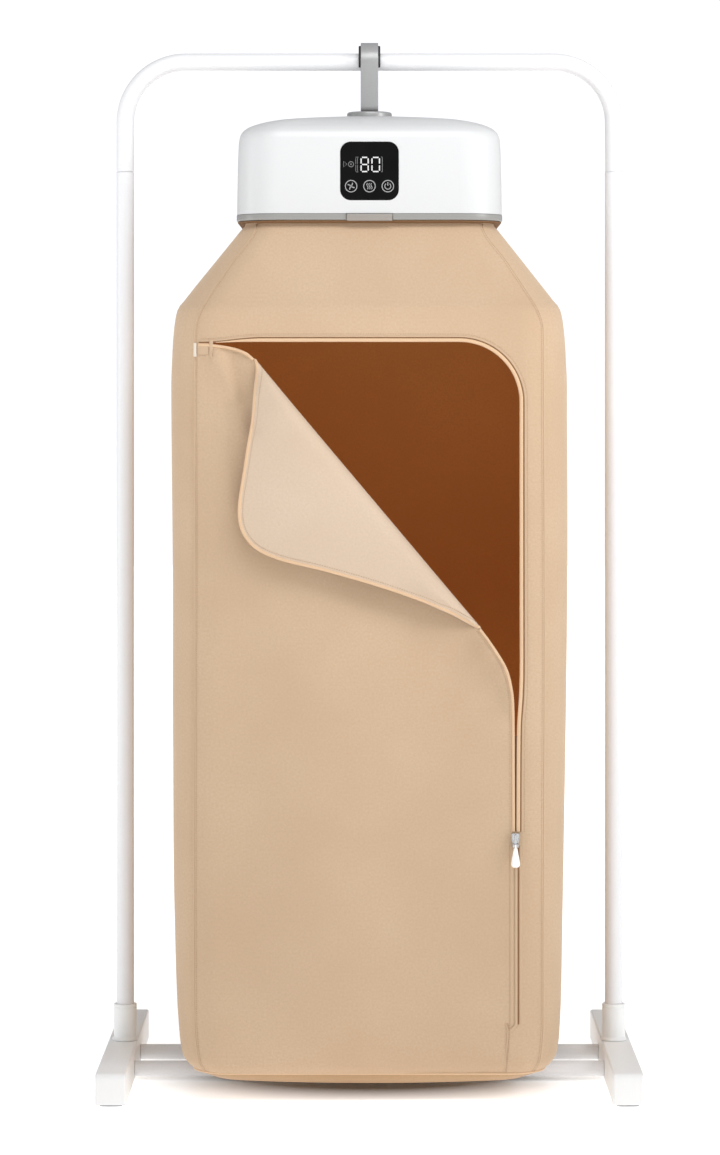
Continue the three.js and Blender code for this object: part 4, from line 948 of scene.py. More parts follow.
# Fold of the door: a straight line down to the right, and distances along and across it.
fold_start = Vector((-0.15508, 1.01613))
fold_along = Vector((0.64309, -0.76579))
fold_across = Vector((-0.76579, -0.64309))
fold_first, fold_last = -0.002, 0.478
curl_rows = [(-0.002, 0.0012), (0.005, 0.0026), (0.016, 0.0062), (0.04, 0.0125), (0.08, 0.017),
             (0.38, 0.017), (0.421, 0.013), (0.441, 0.009), (0.4628, 0.0045), (0.478, 0.001)]
leaf_rows = [(-0.002, 0.0022), (0.0049, 0.0044), (0.010, 0.0084), (0.016, 0.0138), (0.0267, 0.0249),
             (0.0597, 0.0572), (0.0850, 0.0862), (0.1102, 0.1150), (0.1300, 0.1378),
             (0.1410, 0.1487), (0.1505, 0.1562), (0.1605, 0.1618), (0.1730, 0.1658),
             (0.1867, 0.1666), (0.1980, 0.1648), (0.2074, 0.1615), (0.2263, 0.1515),
             (0.2800, 0.1125), (0.3519, 0.0648), (0.3976, 0.0384), (0.4219, 0.0262),
             (0.4413, 0.0172), (0.4628, 0.0092), (0.478, 0.0034)]


def fold_place(along, across):
    """The place on the front plane, in x and z, of a distance along and across the fold."""
    return fold_start + fold_along * along + fold_across * across


# Edges of the doorway. The upper edge runs from the zip's start over the top and down the right
# side to the slider; the door's own edge leaves it at both ends of the fold.
slider_z = 0.3609
doorway_right, doorway_top, doorway_round = 0.205, 1.0404, 0.082
opening_edge = [(-0.2320, 1.0386), (-0.2210, 1.0388), (-0.2090, 1.0391), (-0.1960, 1.0396),
                (-0.1800, 1.0402)]
opening_edge += [(x, doorway_top) for x in (-0.1630, -0.1200, -0.0400, 0.0400, 0.0900)]
opening_edge += [(doorway_right - doorway_round + doorway_round * math.sin(math.radians(a)),
                  doorway_top - doorway_round + doorway_round * math.cos(math.radians(a)))
                 for a in range(0, 91, 9)]
opening_edge += [(doorway_right, z) for z in (0.90, 0.80, 0.70, 0.60)]
opening_edge += [(0.2047, 0.575), (0.2037, 0.550), (0.2024, 0.530), (0.2016, 0.512), (0.2012, 0.47),
                 (0.2010, 0.42), (0.2008, 0.372)]
low_tail = [
    (0.1984, 0.372), (0.1982, 0.42), (0.1980, 0.47), (0.1979, 0.505), (0.1976, 0.528),
    (0.1966, 0.5515), (0.1948, 0.567), (0.1911, 0.5841), (0.1854, 0.5994), (0.1776, 0.6128),
    (0.1690, 0.6263), (0.1594, 0.6397), (0.15155, 0.64944)]
high_tail = [
    (-0.15729, 1.01689), (-0.1619, 1.0212), (-0.1668, 1.0250), (-0.1728, 1.0279), (-0.1790, 1.0303),
    (-0.1881, 1.0328), (-0.1985, 1.0347), (-0.2106, 1.0364), (-0.2210, 1.0376), (-0.2320, 1.0382)]


def curve_through(points, step):
    """Evenly spaced places on a smooth curve through points."""
    points = [Vector(p) for p in points]
    dense = []
    for i in range(len(points) - 1):
        before = points[i - 1] if i else points[i] * 2 - points[i + 1]
        after = points[i + 2] if i + 2 < len(points) else points[i + 1] * 2 - points[i]
        for k in range(12):
            t = k / 12
            dense.append(0.5 * (2 * points[i] + (points[i + 1] - before) * t
                                + (2 * before - 5 * points[i] + 4 * points[i + 1] - after) * t * t
                                + (3 * points[i] - before - 3 * points[i + 1] + after) * t ** 3))
    dense.append(points[-1])
    reach = [0]
    for a, b in zip(dense, dense[1:]):
        reach.append(reach[-1] + (b - a).length)
    count = max(2, round(reach[-1] / step))
    even, k = [], 0
    for i in range(count + 1):
        goal = reach[-1] * i / count
        while k < len(dense) - 2 and reach[k + 1] < goal:
            k += 1
        share = (goal - reach[k]) / max(reach[k + 1] - reach[k], 1e-9)
        even.append(dense[k].lerp(dense[k + 1], held(share)))
    return even


def line_between(start, end, steps):
    """Evenly spaced places on a straight line, both ends among them."""
    return [Vector([a + (b - a) * k / steps for a, b in zip(start, end)]) for k in range(steps + 1)]


# Soft creases and lifts of the front cloth: (from, to, height, half width), all in metres.
front_creases = [
    ((-0.209, 1.020), (-0.181, 0.968), 0.0062, 0.0082), ((-0.189, 1.010), (-0.157, 0.925), -0.0046, 0.0115),
    ((-0.226, 1.012), (-0.206, 0.920), -0.0026, 0.010), ((-0.205, 1.0285), (-0.166, 1.016), -0.0024, 0.005),
    ((-0.206, 0.960), (-0.190, 0.820), 0.0026, 0.014), ((-0.224, 0.900), (-0.222, 0.640), -0.0022, 0.012),
    ((-0.080, 0.900), (-0.070, 0.150), 0.0160, 0.105), ((0.215, 0.980), (0.222, 0.300), 0.0012, 0.009),
    ((0.1500, 0.642), (0.1640, 0.624), 0.0085, 0.016), ((0.1640, 0.624), (0.1850, 0.596), 0.0090, 0.017),
    ((0.1850, 0.596), (0.1950, 0.555), 0.0070, 0.014), ((0.1950, 0.555), (0.1960, 0.534), 0.0028, 0.009),
    ((0.060, 0.640), (0.150, 0.560), -0.0024, 0.030), ((0.100, 0.560), (0.180, 0.440), -0.0016, 0.030),
    ((-0.1560, 1.010), (-0.1700, 1.024), 0.0036, 0.008), ((-0.050, 0.620), (0.120, 0.470), 0.0014, 0.040),
    ((0.1862, 0.500), (0.1862, 0.110), 0.0011, 0.0016), ((0.1902, 0.500), (0.1902, 0.110), -0.0007, 0.0022),
    ((0.1862, 0.104), (0.1846, 0.042), -0.0010, 0.0018), ((0.1890, 0.104), (0.1874, 0.042), 0.0009, 0.0026)]


def creased(x, z):
    """How far the creases and lifts move the front cloth out at a place."""
    out = 0
    for (x0, z0), (x1, z1), height, wide in front_creases:
        if min(x0, x1) - 4 * wide < x < max(x0, x1) + 4 * wide \
                and min(z0, z1) - 4 * wide < z < max(z0, z1) + 4 * wide:
            run = Vector((x1 - x0, z1 - z0))
            at = held((Vector((x - x0, z - z0)).dot(run)) / run.length_squared)
            gap = math.hypot(x - x0 - run.x * at, z - z0 - run.y * at)
            out += height * math.exp(-(gap / wide) ** 2)
    return out


def front_point(x, z, out=0.0, way=-1):
    """The front or back cloth at a place across and up, or a distance out from it."""
    wide, deep, bend = section(z)
    over = held(abs(x) - (wide - bend), 0, bend * 0.9999)
    slope = over / bend
    normal = Vector((math.copysign(slope, x), way * math.sqrt(1 - slope * slope), 0))
    y = way * (deep - bend + bend * math.sqrt(1 - slope * slope))
    stand = rumple(x, y, z) + out + (creased(x, z) if way < 0 else 0)
    return Vector((x, y, z)) + normal * stand


def cloth_piece(name, vertices, faces, flat, *nodes, sides=(fabric, inner_shade_cloth), blend=None):
    """A sewn sheet: a mesh with its flat map, given the cloth's thickness inwards and its outer and inner
    finish. It rides with the head or, where a hinge is given, rides with nothing and has its place put in
    its mesh; the hinge's bodies and places are not used."""
    made = from_points(name, vertices, faces)
    for material in sides:
        made.data.materials.append(material)
    uv = made.data.uv_layers.new(name="flat")
    for loop in made.data.loops:
        uv.data[loop.index].uv = flat[loop.vertex_index]
    modify(made, "SOLIDIFY", thickness=cloth_thick, offset=-1, material_offset=1,
           use_even_offset=False)
    smooth(made, 50)
    if blend:
        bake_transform(made)
    else:
        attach(made, "unit")
    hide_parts(*nodes)
    return made


def grid_faces(rows, columns, flip=False, closed=False):
    """Quads of a net of rows and columns of points."""
    faces = []
    for i in range(rows - 1):
        for j in range(columns if closed else columns - 1):
            k = (j + 1) % columns
            quad = (i * columns + j, i * columns + k, (i + 1) * columns + k, (i + 1) * columns + j)
            faces.append(quad[::-1] if flip else quad)
    return faces


# Front panel: cut to the seams at its sides and to the doorway, as a net of small triangles.
top_edge = curve_through(opening_edge, 0.005)
tail_low = curve_through(low_tail, 0.005)
root_line = []
for k in range(91):
    along = fold_last - (fold_last - fold_first) * k / 90
    root_line.append(fold_place(along, eased(curl_rows, along)[0]))
tail_high = curve_through(high_tail, 0.004)
doorway = top_edge + tail_low + root_line[1:] + tail_high[:-1]
heights = [piping_z + (neck_top - piping_z) * k / 190 for k in range(191)]
outline = []
for hand, z in ((1, neck_top), (-1, piping_z)):  # up the right seam, then down the left one
    outline += [Vector((hand * seam_at(height), height)) for height in heights[::hand]]
    hem_count = round(2 * seam_at(z) / 0.0065)
    outline += [Vector((hand * seam_at(z) * (1 - 2 * k / hem_count), z)) for k in range(1, hem_count)]


def inside(points, ring):
    """Which of many points lie inside a closed outline."""
    x, z = points[:, 0], points[:, 1]
    within = np.zeros(len(points), bool)
    for (x0, z0), (x1, z1) in zip(ring, ring[1:] + ring[:1]):
        if z0 != z1:
            within ^= ((z0 > z) != (z1 > z)) & (x < (x1 - x0) * (z - z0) / (z1 - z0) + x0)
    return within


def gap_to(points, ring):
    """Each point's distance to the nearest corner of an outline."""
    nearest = np.full(len(points), 1.0)
    for corner_x, corner_z in ring:
        nearest = np.minimum(nearest, np.hypot(points[:, 0] - corner_x, points[:, 1] - corner_z))
    return nearest


net_step = 0.006
net = np.array([(x * net_step + (z % 2) * net_step / 2, z * net_step * 0.87)
                for z in range(6, 235) for x in range(-41, 41)])
net = net[inside(net, outline) & ~inside(net, doorway)]
net = net[(gap_to(net, doorway) > 0.0034) & (gap_to(net, outline) > 0.0038)]
corners = outline + doorway + [Vector(p) for p in net.tolist()]
edges = []
for first, count in ((0, len(outline)), (len(outline), len(doorway))):
    edges += [(first + k, first + (k + 1) % count) for k in range(count)]
found = delaunay_2d_cdt(corners, edges, [], 0, 1e-7)
flat_points, triangles = found[0], found[2]
middles = np.array([[sum(flat_points[k][a] for k in face) / 3 for a in (0, 1)] for face in triangles])
keep = inside(middles, outline) & ~inside(middles, doorway)
triangles = [face for face, kept in zip(triangles, keep) if kept]
cover_front = cloth_piece(
    "cover_front_panel", [front_point(p[0], p[1]) for p in flat_points], triangles,
    [(p[0], p[1]) for p in flat_points], "cover_front")


def plain_panel(name, columns, point_at, flip=False):
    """A panel from the piping up to the neck. point_at gives a place and its spot on the cut."""
    rows = 188
    points, flat = [], []
    for i in range(rows):
        z = piping_z + (neck_top - piping_z) * i / (rows - 1)
        for j in range(columns):
            place, spot = point_at(z, j / (columns - 1))
            points.append(place)
            flat.append(spot)
    return cloth_piece(f"cover_{name}_panel", points, grid_faces(rows, columns, flip), flat,
                       "cover_" + name)


# Back panel: plain cloth from seam to seam.
def back_point(z, share):
    """The back's cloth, and its spot on the cut, a share of the way from seam to seam."""
    x = seam_at(z) * (1 - 2 * share)
    return front_point(x, z, way=1), (x, z)


cover_back = plain_panel("back", 76, back_point)


# Side panels: each runs round from its front seam to its back seam.
def side_point(z, share, hand):
    """A side's cloth, and its spot on the cut, a share of the way from front seam to back seam."""
    wide, deep, bend = section(z)
    first = math.asin(held((seam_at(z) - wide + bend) / bend, -1, 1))
    curve = bend * (math.pi / 2 - first)
    level = 2 * (deep - bend)
    reach = share * (2 * curve + level)
    if curve <= reach < curve + level:
        x, y, normal = wide, reach - curve - deep + bend, Vector((1, 0, 0))
    else:
        end = -1 if reach < curve else 1
        turn = first + reach / bend - math.pi / 2 if end < 0 else (reach - curve - level) / bend
        normal = Vector((math.cos(turn), math.sin(turn), 0))
        x, y = wide - bend + bend * math.cos(turn), end * (deep - bend) + bend * math.sin(turn)
    place = Vector((x, y, z)) + normal * rumple(hand * x, y, z)
    place.x *= hand
    return place, (reach, z)


cover_sides = [
    plain_panel("left", 84, lambda z, share: side_point(z, share, -1), flip=True),
    plain_panel("right", 84, lambda z, share: side_point(z, share, 1))]

# Floor: a separate panel whose rim turns up to the piping. It sags a little in front and behind,
# clear of the cross bars.
rim_count = 200
sag_depth, sag_start, sag_run = 0.0075, 0.09, 0.08


def rim_point(z, k, out=0.0, scale=1.0):
    """A place on the cover's outline at a height, counted round from the middle of the front."""
    wide, deep, bend = section(z)
    side, front = 2 * (deep - bend), 2 * (wide - bend)
    arc = bend * math.pi / 2
    reach = (k / rim_count) * (2 * side + 2 * front + 4 * arc)
    spans = [(front / 2, "line", (0, -deep), (1, 0), (0, -1)),
             (arc, "arc", (wide - bend, -deep + bend), -90, None),
             (side, "line", (wide, -deep + bend), (0, 1), (1, 0)),
             (arc, "arc", (wide - bend, deep - bend), 0, None),
             (front, "line", (wide - bend, deep), (-1, 0), (0, 1)),
             (arc, "arc", (-wide + bend, deep - bend), 90, None),
             (side, "line", (-wide, deep - bend), (0, -1), (-1, 0)),
             (arc, "arc", (-wide + bend, -deep + bend), 180, None),
             (front / 2, "line", (-wide + bend, -deep), (1, 0), (0, -1))]
    for length, kind, place, way, normal in spans:
        if reach <= length + 1e-9:
            break
        reach -= length
    if kind == "line":
        spot, normal = Vector(place) + Vector(way) * reach, Vector(normal)
    else:
        turn = math.radians(way) + reach / bend
        normal = Vector((math.cos(turn), math.sin(turn)))
        spot = Vector(place) + normal * bend
    spot = spot * scale + normal * out
    return Vector((spot.x, spot.y, z)), Vector((normal.x, normal.y, 0))


floor_steps = [(z, 1.0) for z in (piping_z, 0.0375, 0.0358, 0.0340, 0.0325, 0.0312, 0.0304, cover_low)]
floor_steps += [(cover_low + 0.0003, 1 - 0.074 * k) for k in range(1, 14)]
points, flat = [], []
for z, scale in floor_steps:
    for k in range(rim_count):
        place, normal = rim_point(max(z, cover_low), k, scale=scale)
        sag = min((piping_z - z) / (piping_z - cover_low), 1) * held((abs(place.y) - sag_start) / sag_run)
        place.z = z - sag_depth * sag * (1 - (place.x / 0.25) ** 2)
        points.append(place)
        flat.append((place.x, place.y))
rings = len(points) // rim_count
floor_faces = grid_faces(rings, rim_count, flip=True, closed=True)
floor_faces.append(tuple((rings - 1) * rim_count + k for k in range(rim_count)))
cover_floor = cloth_piece("cover_floor_panel", points, floor_faces, flat, "cover_floor",
                          sides=(shaded_floor_cloth, inner_shade_cloth))

# Seams and piping: the side panels are felled to the front and back and top-stitched, and a corded
# piping of the same cloth, a little oranger, closes the floor's rim.
bound_cloth = grained(
    "bias_binding_tape", "#D3AF8B", "#DEBF9C", 900.0, relief=(0.25, 0.0003),  # ribs of 1.1 mm
    Roughness=0.72, IOR=1.45, Sheen_Weight=0.3, Sheen_Roughness=0.4)

thread = grained(
    "polyester_sewing_thread", "#9A7C60", "#BFA184", 2200.0, Roughness=0.5, IOR=1.5)  # 0.45 mm plies


def front_surface(spot, lift):
    """The front cloth at a spot, lifted off it by a distance."""
    return front_point(spot.x, spot.y, lift)


def back_surface(spot, lift):
    """The back cloth, likewise."""
    return front_point(spot.x, spot.y, lift, way=1)


def frames_along(path, surface, aside=0.0, lift=0.0):
    """Place, sideways and outward directions of a strip that follows a path on a surface.

    aside, its distance to the left of the path, is a number or a function of the place."""
    frames = []
    for k, spot in enumerate(path):
        ahead = (path[min(k + 1, len(path) - 1)] - path[max(k - 1, 0)]).normalized()
        over = Vector((-ahead.y, ahead.x))
        spot = spot + over * (aside(spot) if callable(aside) else aside)
        place = surface(spot, lift)
        side = (surface(spot + over * 0.0005, lift) - place).normalized()
        out = (surface(spot, lift + 0.0005) - place).normalized()
        frames.append((place, side, out))
    return frames


def sewn_solid(name, vertices, faces, finish, angle):
    """A closed piece of trim in its finish."""
    made = from_points(name, vertices, faces)
    edit(made)
    close_up(made, angle)
    made.data.materials.append(finish)
    return made


def strip(name, frames, half_wide, half_thick, finish, closed=False, sides=10, squareness=0.75):
    """A narrow strip, cord or tape drawn along frames. half_wide may be one number for each frame."""
    wides = half_wide if isinstance(half_wide, list) else [half_wide] * len(frames)
    vertices = []
    for (place, side, out), wide in zip(frames, wides):
        for k in range(sides):
            turn = 2 * math.pi * (k + 0.5) / sides
            across = math.copysign(abs(math.cos(turn)) ** squareness, math.cos(turn))
            over = math.copysign(abs(math.sin(turn)) ** squareness, math.sin(turn))
            vertices.append(place + side * wide * across + out * half_thick * over)
    rows = len(frames)
    faces = grid_faces(rows, sides, closed=True)
    if closed:
        faces += [((rows - 1) * sides + k, (rows - 1) * sides + (k + 1) % sides, (k + 1) % sides, k)
                  for k in range(sides)]
    else:
        faces += [tuple(range(sides)), tuple((rows - 1) * sides + k for k in range(sides))]
    return sewn_solid(name, vertices, faces, finish, 50)


def stitches(name, path, surface, aside, lift, finish, pitch=0.0034, length=0.0025, half=0.00042):
    """A row of stitches beside a path: short threads that dip into the cloth at both ends."""
    vertices, faces = [], []
    marks = curve_through(path, pitch)
    for place, side, out in frames_along(marks, surface, aside, lift):
        ahead = side.cross(out)
        first = len(vertices)
        for reach, thick, sink in ((-0.5, 0.45, 0.0006), (-0.28, 1, 0), (0.28, 1, 0), (0.5, 0.45, 0.0006)):
            middle = place + ahead * reach * length - out * sink
            for across, over in ((1, 0), (0, 1), (-1, 0), (0, -1)):
                vertices.append(middle + (side * across + out * over) * half * thick)
        faces += [tuple(first + k for k in face) for face in grid_faces(4, 4, closed=True)]
        faces += [(first, first + 1, first + 2, first + 3),
                  (first + 12, first + 13, first + 14, first + 15)]
    return sewn_solid(name, vertices, faces, finish, 60)


def sew_on(piece, *nodes, slot="beige_fabric"):
    """A piece of trim rides with the head, which carries the cover."""
    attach(piece, "unit")
    if nodes:
        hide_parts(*nodes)


def front_strip(name, path, aside, lift, half_wide, half_thick, finish, *nodes,
                slot="beige_fabric", **form):
    """A strip sewn along a path on the front panel."""
    frames = frames_along(path, front_surface, aside, lift)
    sew_on(strip(name, frames, half_wide, half_thick, finish, **form), *nodes, slot=slot)


def front_stitches(name, path, aside, lift, finish=thread, slot="beige_fabric", **form):
    """A row of stitches sewn along a path on the front panel."""
    sew_on(stitches(name, path, front_surface, aside, lift, finish, **form), slot=slot)


def rim_strip(name, z, out, half_wide, half_thick, finish, squareness, *nodes, slot="beige_fabric",
              level=False):
    """A strip right round the cover at a height, upright or lying level with its face down."""
    frames = []
    for k in range(rim_count):
        place, normal = rim_point(z, k, out=out)
        frames.append((place, normal, Vector((0, 0, -1))) if level else (place, Vector((0, 0, 1)), normal))
    sew_on(strip(name, frames, half_wide, half_thick, finish, closed=True, squareness=squareness),
           *nodes, slot=slot)


seam_heights = [piping_z + 0.001 + (neck_low - piping_z - 0.001) * k / 180 for k in range(181)]
for place_name, surface in (("front", front_surface), ("back", back_surface)):
    for hand_name, hand in (("left", -1), ("right", 1)):
        seam_line = [Vector((hand * seam_at(z), z)) for z in seam_heights]
        sew_on(strip(f"seam_{place_name}_{hand_name}", frames_along(seam_line, surface, lift=0.0001),
                     0.0012, 0.0007, fabric))
        sew_on(stitches(f"seam_stitches_{place_name}_{hand_name}", seam_line, surface,
                        hand * 0.0032, 0.0001, thread, pitch=0.0030, half=0.00042))

rim_strip("floor_piping", piping_z, 0.0004, 0.0016, 0.0016, bound_cloth, 1)

# Doorway's edge: the fixed half of the zip is sewn behind a bound edge. Its spiral of nylon teeth lies in a
# groove just outside the binding, lined with a brown strip that is partly the zip's tape and partly painted
# shade, and the cloth beyond it stands up as a soft lip.
# Brown tape: the zip's real tape and teeth, and also painted shade where it lines the grooves, runs round
# the neck under the tray and fills the slit.
zip_tape = grained(
    "brown_zip_tape_and_painted_shade", "#7A5838", "#94704E", 1300.0, 1.0, relief=(0.3, 0.0002),  # ribs of 0.8 mm
    Roughness=0.75, IOR=1.45)

start_x, full_x = -0.2330, -0.1450
narrow_run = 0.014  # how far the band stays narrow from its start


def band_share(spot):
    """Share of the band's full width: it narrows to nothing much at the start of the zip."""
    if spot.y < 0.9 or spot.x > full_x:
        return 1.0
    share = held((spot.x - start_x - narrow_run) / (full_x - start_x - narrow_run))
    return 0.16 + 0.84 * share * share * (3 - 2 * share)


def beside(middle_gap, edge_gap=0.0):
    """Distance beside the doorway's edge: a share of the band, and a fixed gap past it."""
    return lambda spot: middle_gap * band_share(spot) + edge_gap


teeth_aside = 0.0054
doorway_path = curve_through(opening_edge[2:], 0.006)
groove_path = curve_through(opening_edge, 0.006)
front_strip("doorway_binding", doorway_path, beside(0.0022), 0.0004,
            [0.0026 * band_share(spot) for spot in doorway_path], 0.0017, bound_cloth)
# The groove's brown strip is partly the zip's tape and partly painted shade in the groove.
front_strip("doorway_zip_groove", groove_path, beside(teeth_aside), 0.0002, 0.0009, 0.0005, zip_tape,
            slot="zip")
front_stitches("doorway_zip_teeth", groove_path[2:], beside(teeth_aside), 0.0007, zip_tape, "zip",
               pitch=0.0025, length=0.0012, half=0.00055)
front_strip("doorway_lip", groove_path, beside(teeth_aside, 0.0021), 0.0001, 0.0013, 0.0010, fabric)
front_stitches("doorway_stitches", groove_path[1:], beside(teeth_aside, 0.0052), 0.0001, half=0.0003)
for end, tail in (("high", high_tail), ("low", low_tail)):
    front_strip("door_binding_" + end, curve_through(tail, 0.005), 0.0017, 0.0003, 0.0021, 0.0015,
                bound_cloth)
    front_stitches("door_stitches_" + end, tail, 0.0066, 0.0001, half=0.0003)

# Shoulder hoop: a flat bar of spring steel in a hem above the doorway, which holds the cloth out.
hoop_z = 1.0504
rim_strip("shoulder_spring_hoop", hoop_z, -0.0036, 0.0020, 0.0016, zinc_steel, 0.4, "shoulder_hoop",
          slot="bare_steel")

# Neck: a dark brown strip round the cover's top edge and a flat flange of it against the underside of the
# tray's rim, both painted shade for the dark line under the tray and the rim's shaded underside.
neck_shade_z = 1.2084
rim_strip("neck_shade_tape", neck_shade_z, 0.0002, 0.0020, 0.0008, zip_tape, 0.5)
rim_strip("neck_shade_flange", neck_shade_z + 0.0010, 0.0057, 0.0060, 0.0008, zip_tape, 0.4, level=True)

# Start of the zip: a pale bar tack holds its end, beside a folded tab and a narrow keeper loop.
# Satin stitch: cream thread laid side by side, 0.7 mm apart, with a soft sheen.
tack_thread = grained(
    "satin_stitched_thread", "#D9CDBC", "#E8DECF", 450.0, relief=(0.4, 0.0003),  # 0.7 mm pitch
    kind="ShaderNodeTexWave", bands="Z", Roughness=0.6, IOR=1.5, Sheen_Weight=0.2)
tack_x, tab_end_x, keeper_x, end_tab_z = -0.2369, -0.2188, -0.2154, 1.0306
front_strip("zip_end_tack", line_between((tack_x, 1.0200), (tack_x, 1.0390), 8), 0, 0.0008,
            0.0023, 0.0012, tack_thread, sides=14)
front_strip("zip_end_tab", line_between((start_x, end_tab_z), (tab_end_x, end_tab_z), 8), 0, 0.0004,
            0.0078, 0.0009, fabric, sides=14, squareness=0.5)
front_strip("zip_end_keeper", line_between((keeper_x, 1.0195), (keeper_x, 1.0430), 8), 0, 0.0010,
            0.0026, 0.0010, fabric, sides=14, squareness=0.6)

# Door: the upper corner of the front panel, unzipped and folded back on itself so that its inner face
# shows, in a lighter and paler tone than the outer cloth. It curls at the fold and hangs a finger's breadth
# clear of the panel.
lighter_leaf_face = woven("lighter_door_inner_face", "#C9B29A", "#D2BDA7", 0.12, 0.0002, Roughness=0.68,
                  Sheen_Weight=0.3, Sheen_Roughness=0.4, Sheen_Tint=linear("#F6EADB"))


def leaf_surface(spot, lift):
    """The door's inner face at a distance along the fold and a distance round from its root."""
    along, round_way = spot
    curl = eased(curl_rows, along)[0]
    free = eased(leaf_rows, along)[0]
    if round_way < math.pi * curl:
        turn = max(round_way, 0) / curl
        reach = curl + lift
        across, height = curl - reach * math.sin(turn), curl - reach * math.cos(turn)
    else:
        across = curl + round_way - math.pi * curl
        share = (across - curl) / max(free - curl, 1e-4)
        ease = share * share * (3 - 2 * share)
        resting = min(2 * curl, 0.025)
        height = 2 * curl + (resting - 2 * curl) * ease + lift
        height += 0.0022 * ease * math.sin(2 * math.pi * (along - 0.06) / 0.23)
        height += 0.0012 * share * (1 - share) * 4 * math.sin(2 * math.pi * (along + across * 0.6) / 0.16)
    place = fold_place(along, across)
    return front_point(place.x, place.y, height - cloth_thick)


def leaf_edge(along):
    """The distance round from the root to the leaf's free edge."""
    curl = eased(curl_rows, along)[0]
    return math.pi * curl + eased(leaf_rows, along)[0] - curl


leaf_steps, curl_steps, flat_steps = 126, 12, 34
points, flat = [], []
for i in range(leaf_steps):
    along = fold_first + (fold_last - fold_first) * i / (leaf_steps - 1)
    turn = math.pi * eased(curl_rows, along)[0]
    for k in range(curl_steps + flat_steps + 1):
        if k <= curl_steps:
            round_way = turn * k / curl_steps
        else:
            round_way = turn + (leaf_edge(along) - turn) * (k - curl_steps) / flat_steps
        points.append(leaf_surface((along, round_way), 0))
        flat.append((along, round_way))
# Between these distances from the fold the cloth would go over from the head's motion to the leaf's;
# cloth_piece takes them only as a sign to leave the leaf riding with nothing.
hinge_y = -0.26
hinge_ends = [fold_place(0.2, across) for across in (0.026, 0.060)]
hinge = ("unit", "flap", *[Vector((spot.x, hinge_y, spot.y)) for spot in hinge_ends])
door_leaf = cloth_piece(
    "door_leaf_folded", points, grid_faces(leaf_steps, curl_steps + flat_steps + 1), flat,
    "door_fold", "door_leaf", sides=(lighter_leaf_face, fabric), blend=hinge)

# Its bound edge, with the other half of the zip's stitching beside it.
bound_first, bound_last = 0.473, 0.004  # where the leaf's free edge proper starts and ends
edge_ways = [bound_first - (bound_first - bound_last) * k / 60 for k in range(61)]
edge_path = curve_through(
    [(fold_last - 0.0005, 0), (fold_last - 0.001, leaf_edge(0.477) * 0.6)]
    + [(along, leaf_edge(along)) for along in edge_ways]
    + [(fold_first + 0.001, leaf_edge(0.001) * 0.6), (fold_first + 0.0005, 0)], 0.004)
binding = strip("door_binding_leaf", frames_along(edge_path, leaf_surface, 0.0017, -cloth_thick / 2),
                0.0021, 0.0015, bound_cloth)
seam_row = stitches("door_stitches_leaf", edge_path[3:-3], leaf_surface, 0.0066, 0.0002, thread,
                    half=0.0004)
for piece in (binding, seam_row):
    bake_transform(piece)

# Closed zip: below the slider its two tapes meet under a soft lip, with a narrow groove on the right whose
# brown strip is painted shade, and end in one stitched seam. A brown strip behind the parted length paints
# the shade seen through the slit.
zip_foot, zip_head = 0.109, 0.352
zip_fold_x, zip_lip_x, zip_groove_x, zip_outer_x = 0.1946, 0.2001, 0.2032, 0.2062
lip_line = line_between((zip_lip_x, zip_head), (zip_lip_x, zip_foot), 44)
lip_line += [Vector((x, zip_foot - fall)) for x, fall in (
    (0.1994, 0.0020), (0.1978, 0.0042), (0.1950, 0.0066), (0.1918, 0.0084))]
front_strip("zip_lip", lip_line, 0, 0.0003, 0.0021, 0.0017, fabric, "zip_tape", slot="zip")
groove_line = line_between((zip_groove_x, 0.506), (zip_groove_x, zip_foot), 70)[27:]
# The groove's brown strip is painted shade; the zip's teeth run along it.
front_strip("zip_groove", groove_line, 0, 0.0002, 0.0010, 0.0004, zip_tape, slot="zip")
front_stitches("zip_teeth", groove_line, 0, 0.0005, zip_tape, "zip", pitch=0.0025, length=0.0013,
               half=0.0006)
outer_line = line_between((zip_outer_x, zip_head), (zip_outer_x, zip_foot), 44)
front_strip("zip_outer_lip", outer_line, 0, 0.0001, 0.0016, 0.0008, fabric, slot="zip")
inner_line = line_between((zip_fold_x, zip_head), (zip_fold_x, zip_foot - 0.002), 44)
front_strip("zip_inner_fold", inner_line, 0, 0.0001, 0.0026, 0.0006, fabric, slot="zip")
front_stitches("zip_stitches", [p - Vector((0.0034, 0)) for p in inner_line], 0, 0.0001, slot="zip",
               pitch=0.0030, half=0.0004)
foot_seam = [(0.1862, zip_foot), (0.1876, 0.1045), (0.1886, 0.0985), (0.1876, 0.080),
             (0.1860, 0.062), (0.1846, 0.0425)]
front_strip("zip_foot_seam", curve_through(foot_seam, 0.004), 0, 0.0001, 0.0012, 0.0007, fabric)
front_stitches("zip_foot_stitches", foot_seam, 0.0026, 0.0001, pitch=0.0030, half=0.0004)
# Painted shade: a brown strip behind the slit, seen through it.
front_strip("zip_slit_shade_strip", line_between((0.1997, 0.502), (0.1997, 0.364), 30), 0, -0.0034,
            0.0062, 0.0006, zip_tape, slot="zip", sides=12)

# Slider: die-cast zinc, plated and polished, that joins the two rows of teeth. Its body narrows
# downwards between two flanges, and a raised bridge holds the ring of the pull.
plated = grained(
    "polished_nickel_plate", "#B4B5B6", "#C6C7C8", 240.0, rough=(0.22, 0.32),  # 4 mm handling marks
    Metallic=1.0)

slider_x, slider_back, slider_front = 0.199, -0.2380, -0.2431
pivot_y, pivot_z = -0.2455, 0.3540
slider_half, slider_half_tall = 0.0052, 0.0092
bridge_front, rib_y = -0.2479, -0.2438


def join(piece, others):
    """Makes other pieces part of one."""
    only(piece)
    for other in others:
        other.select_set(True)
    bpy.ops.object.join()


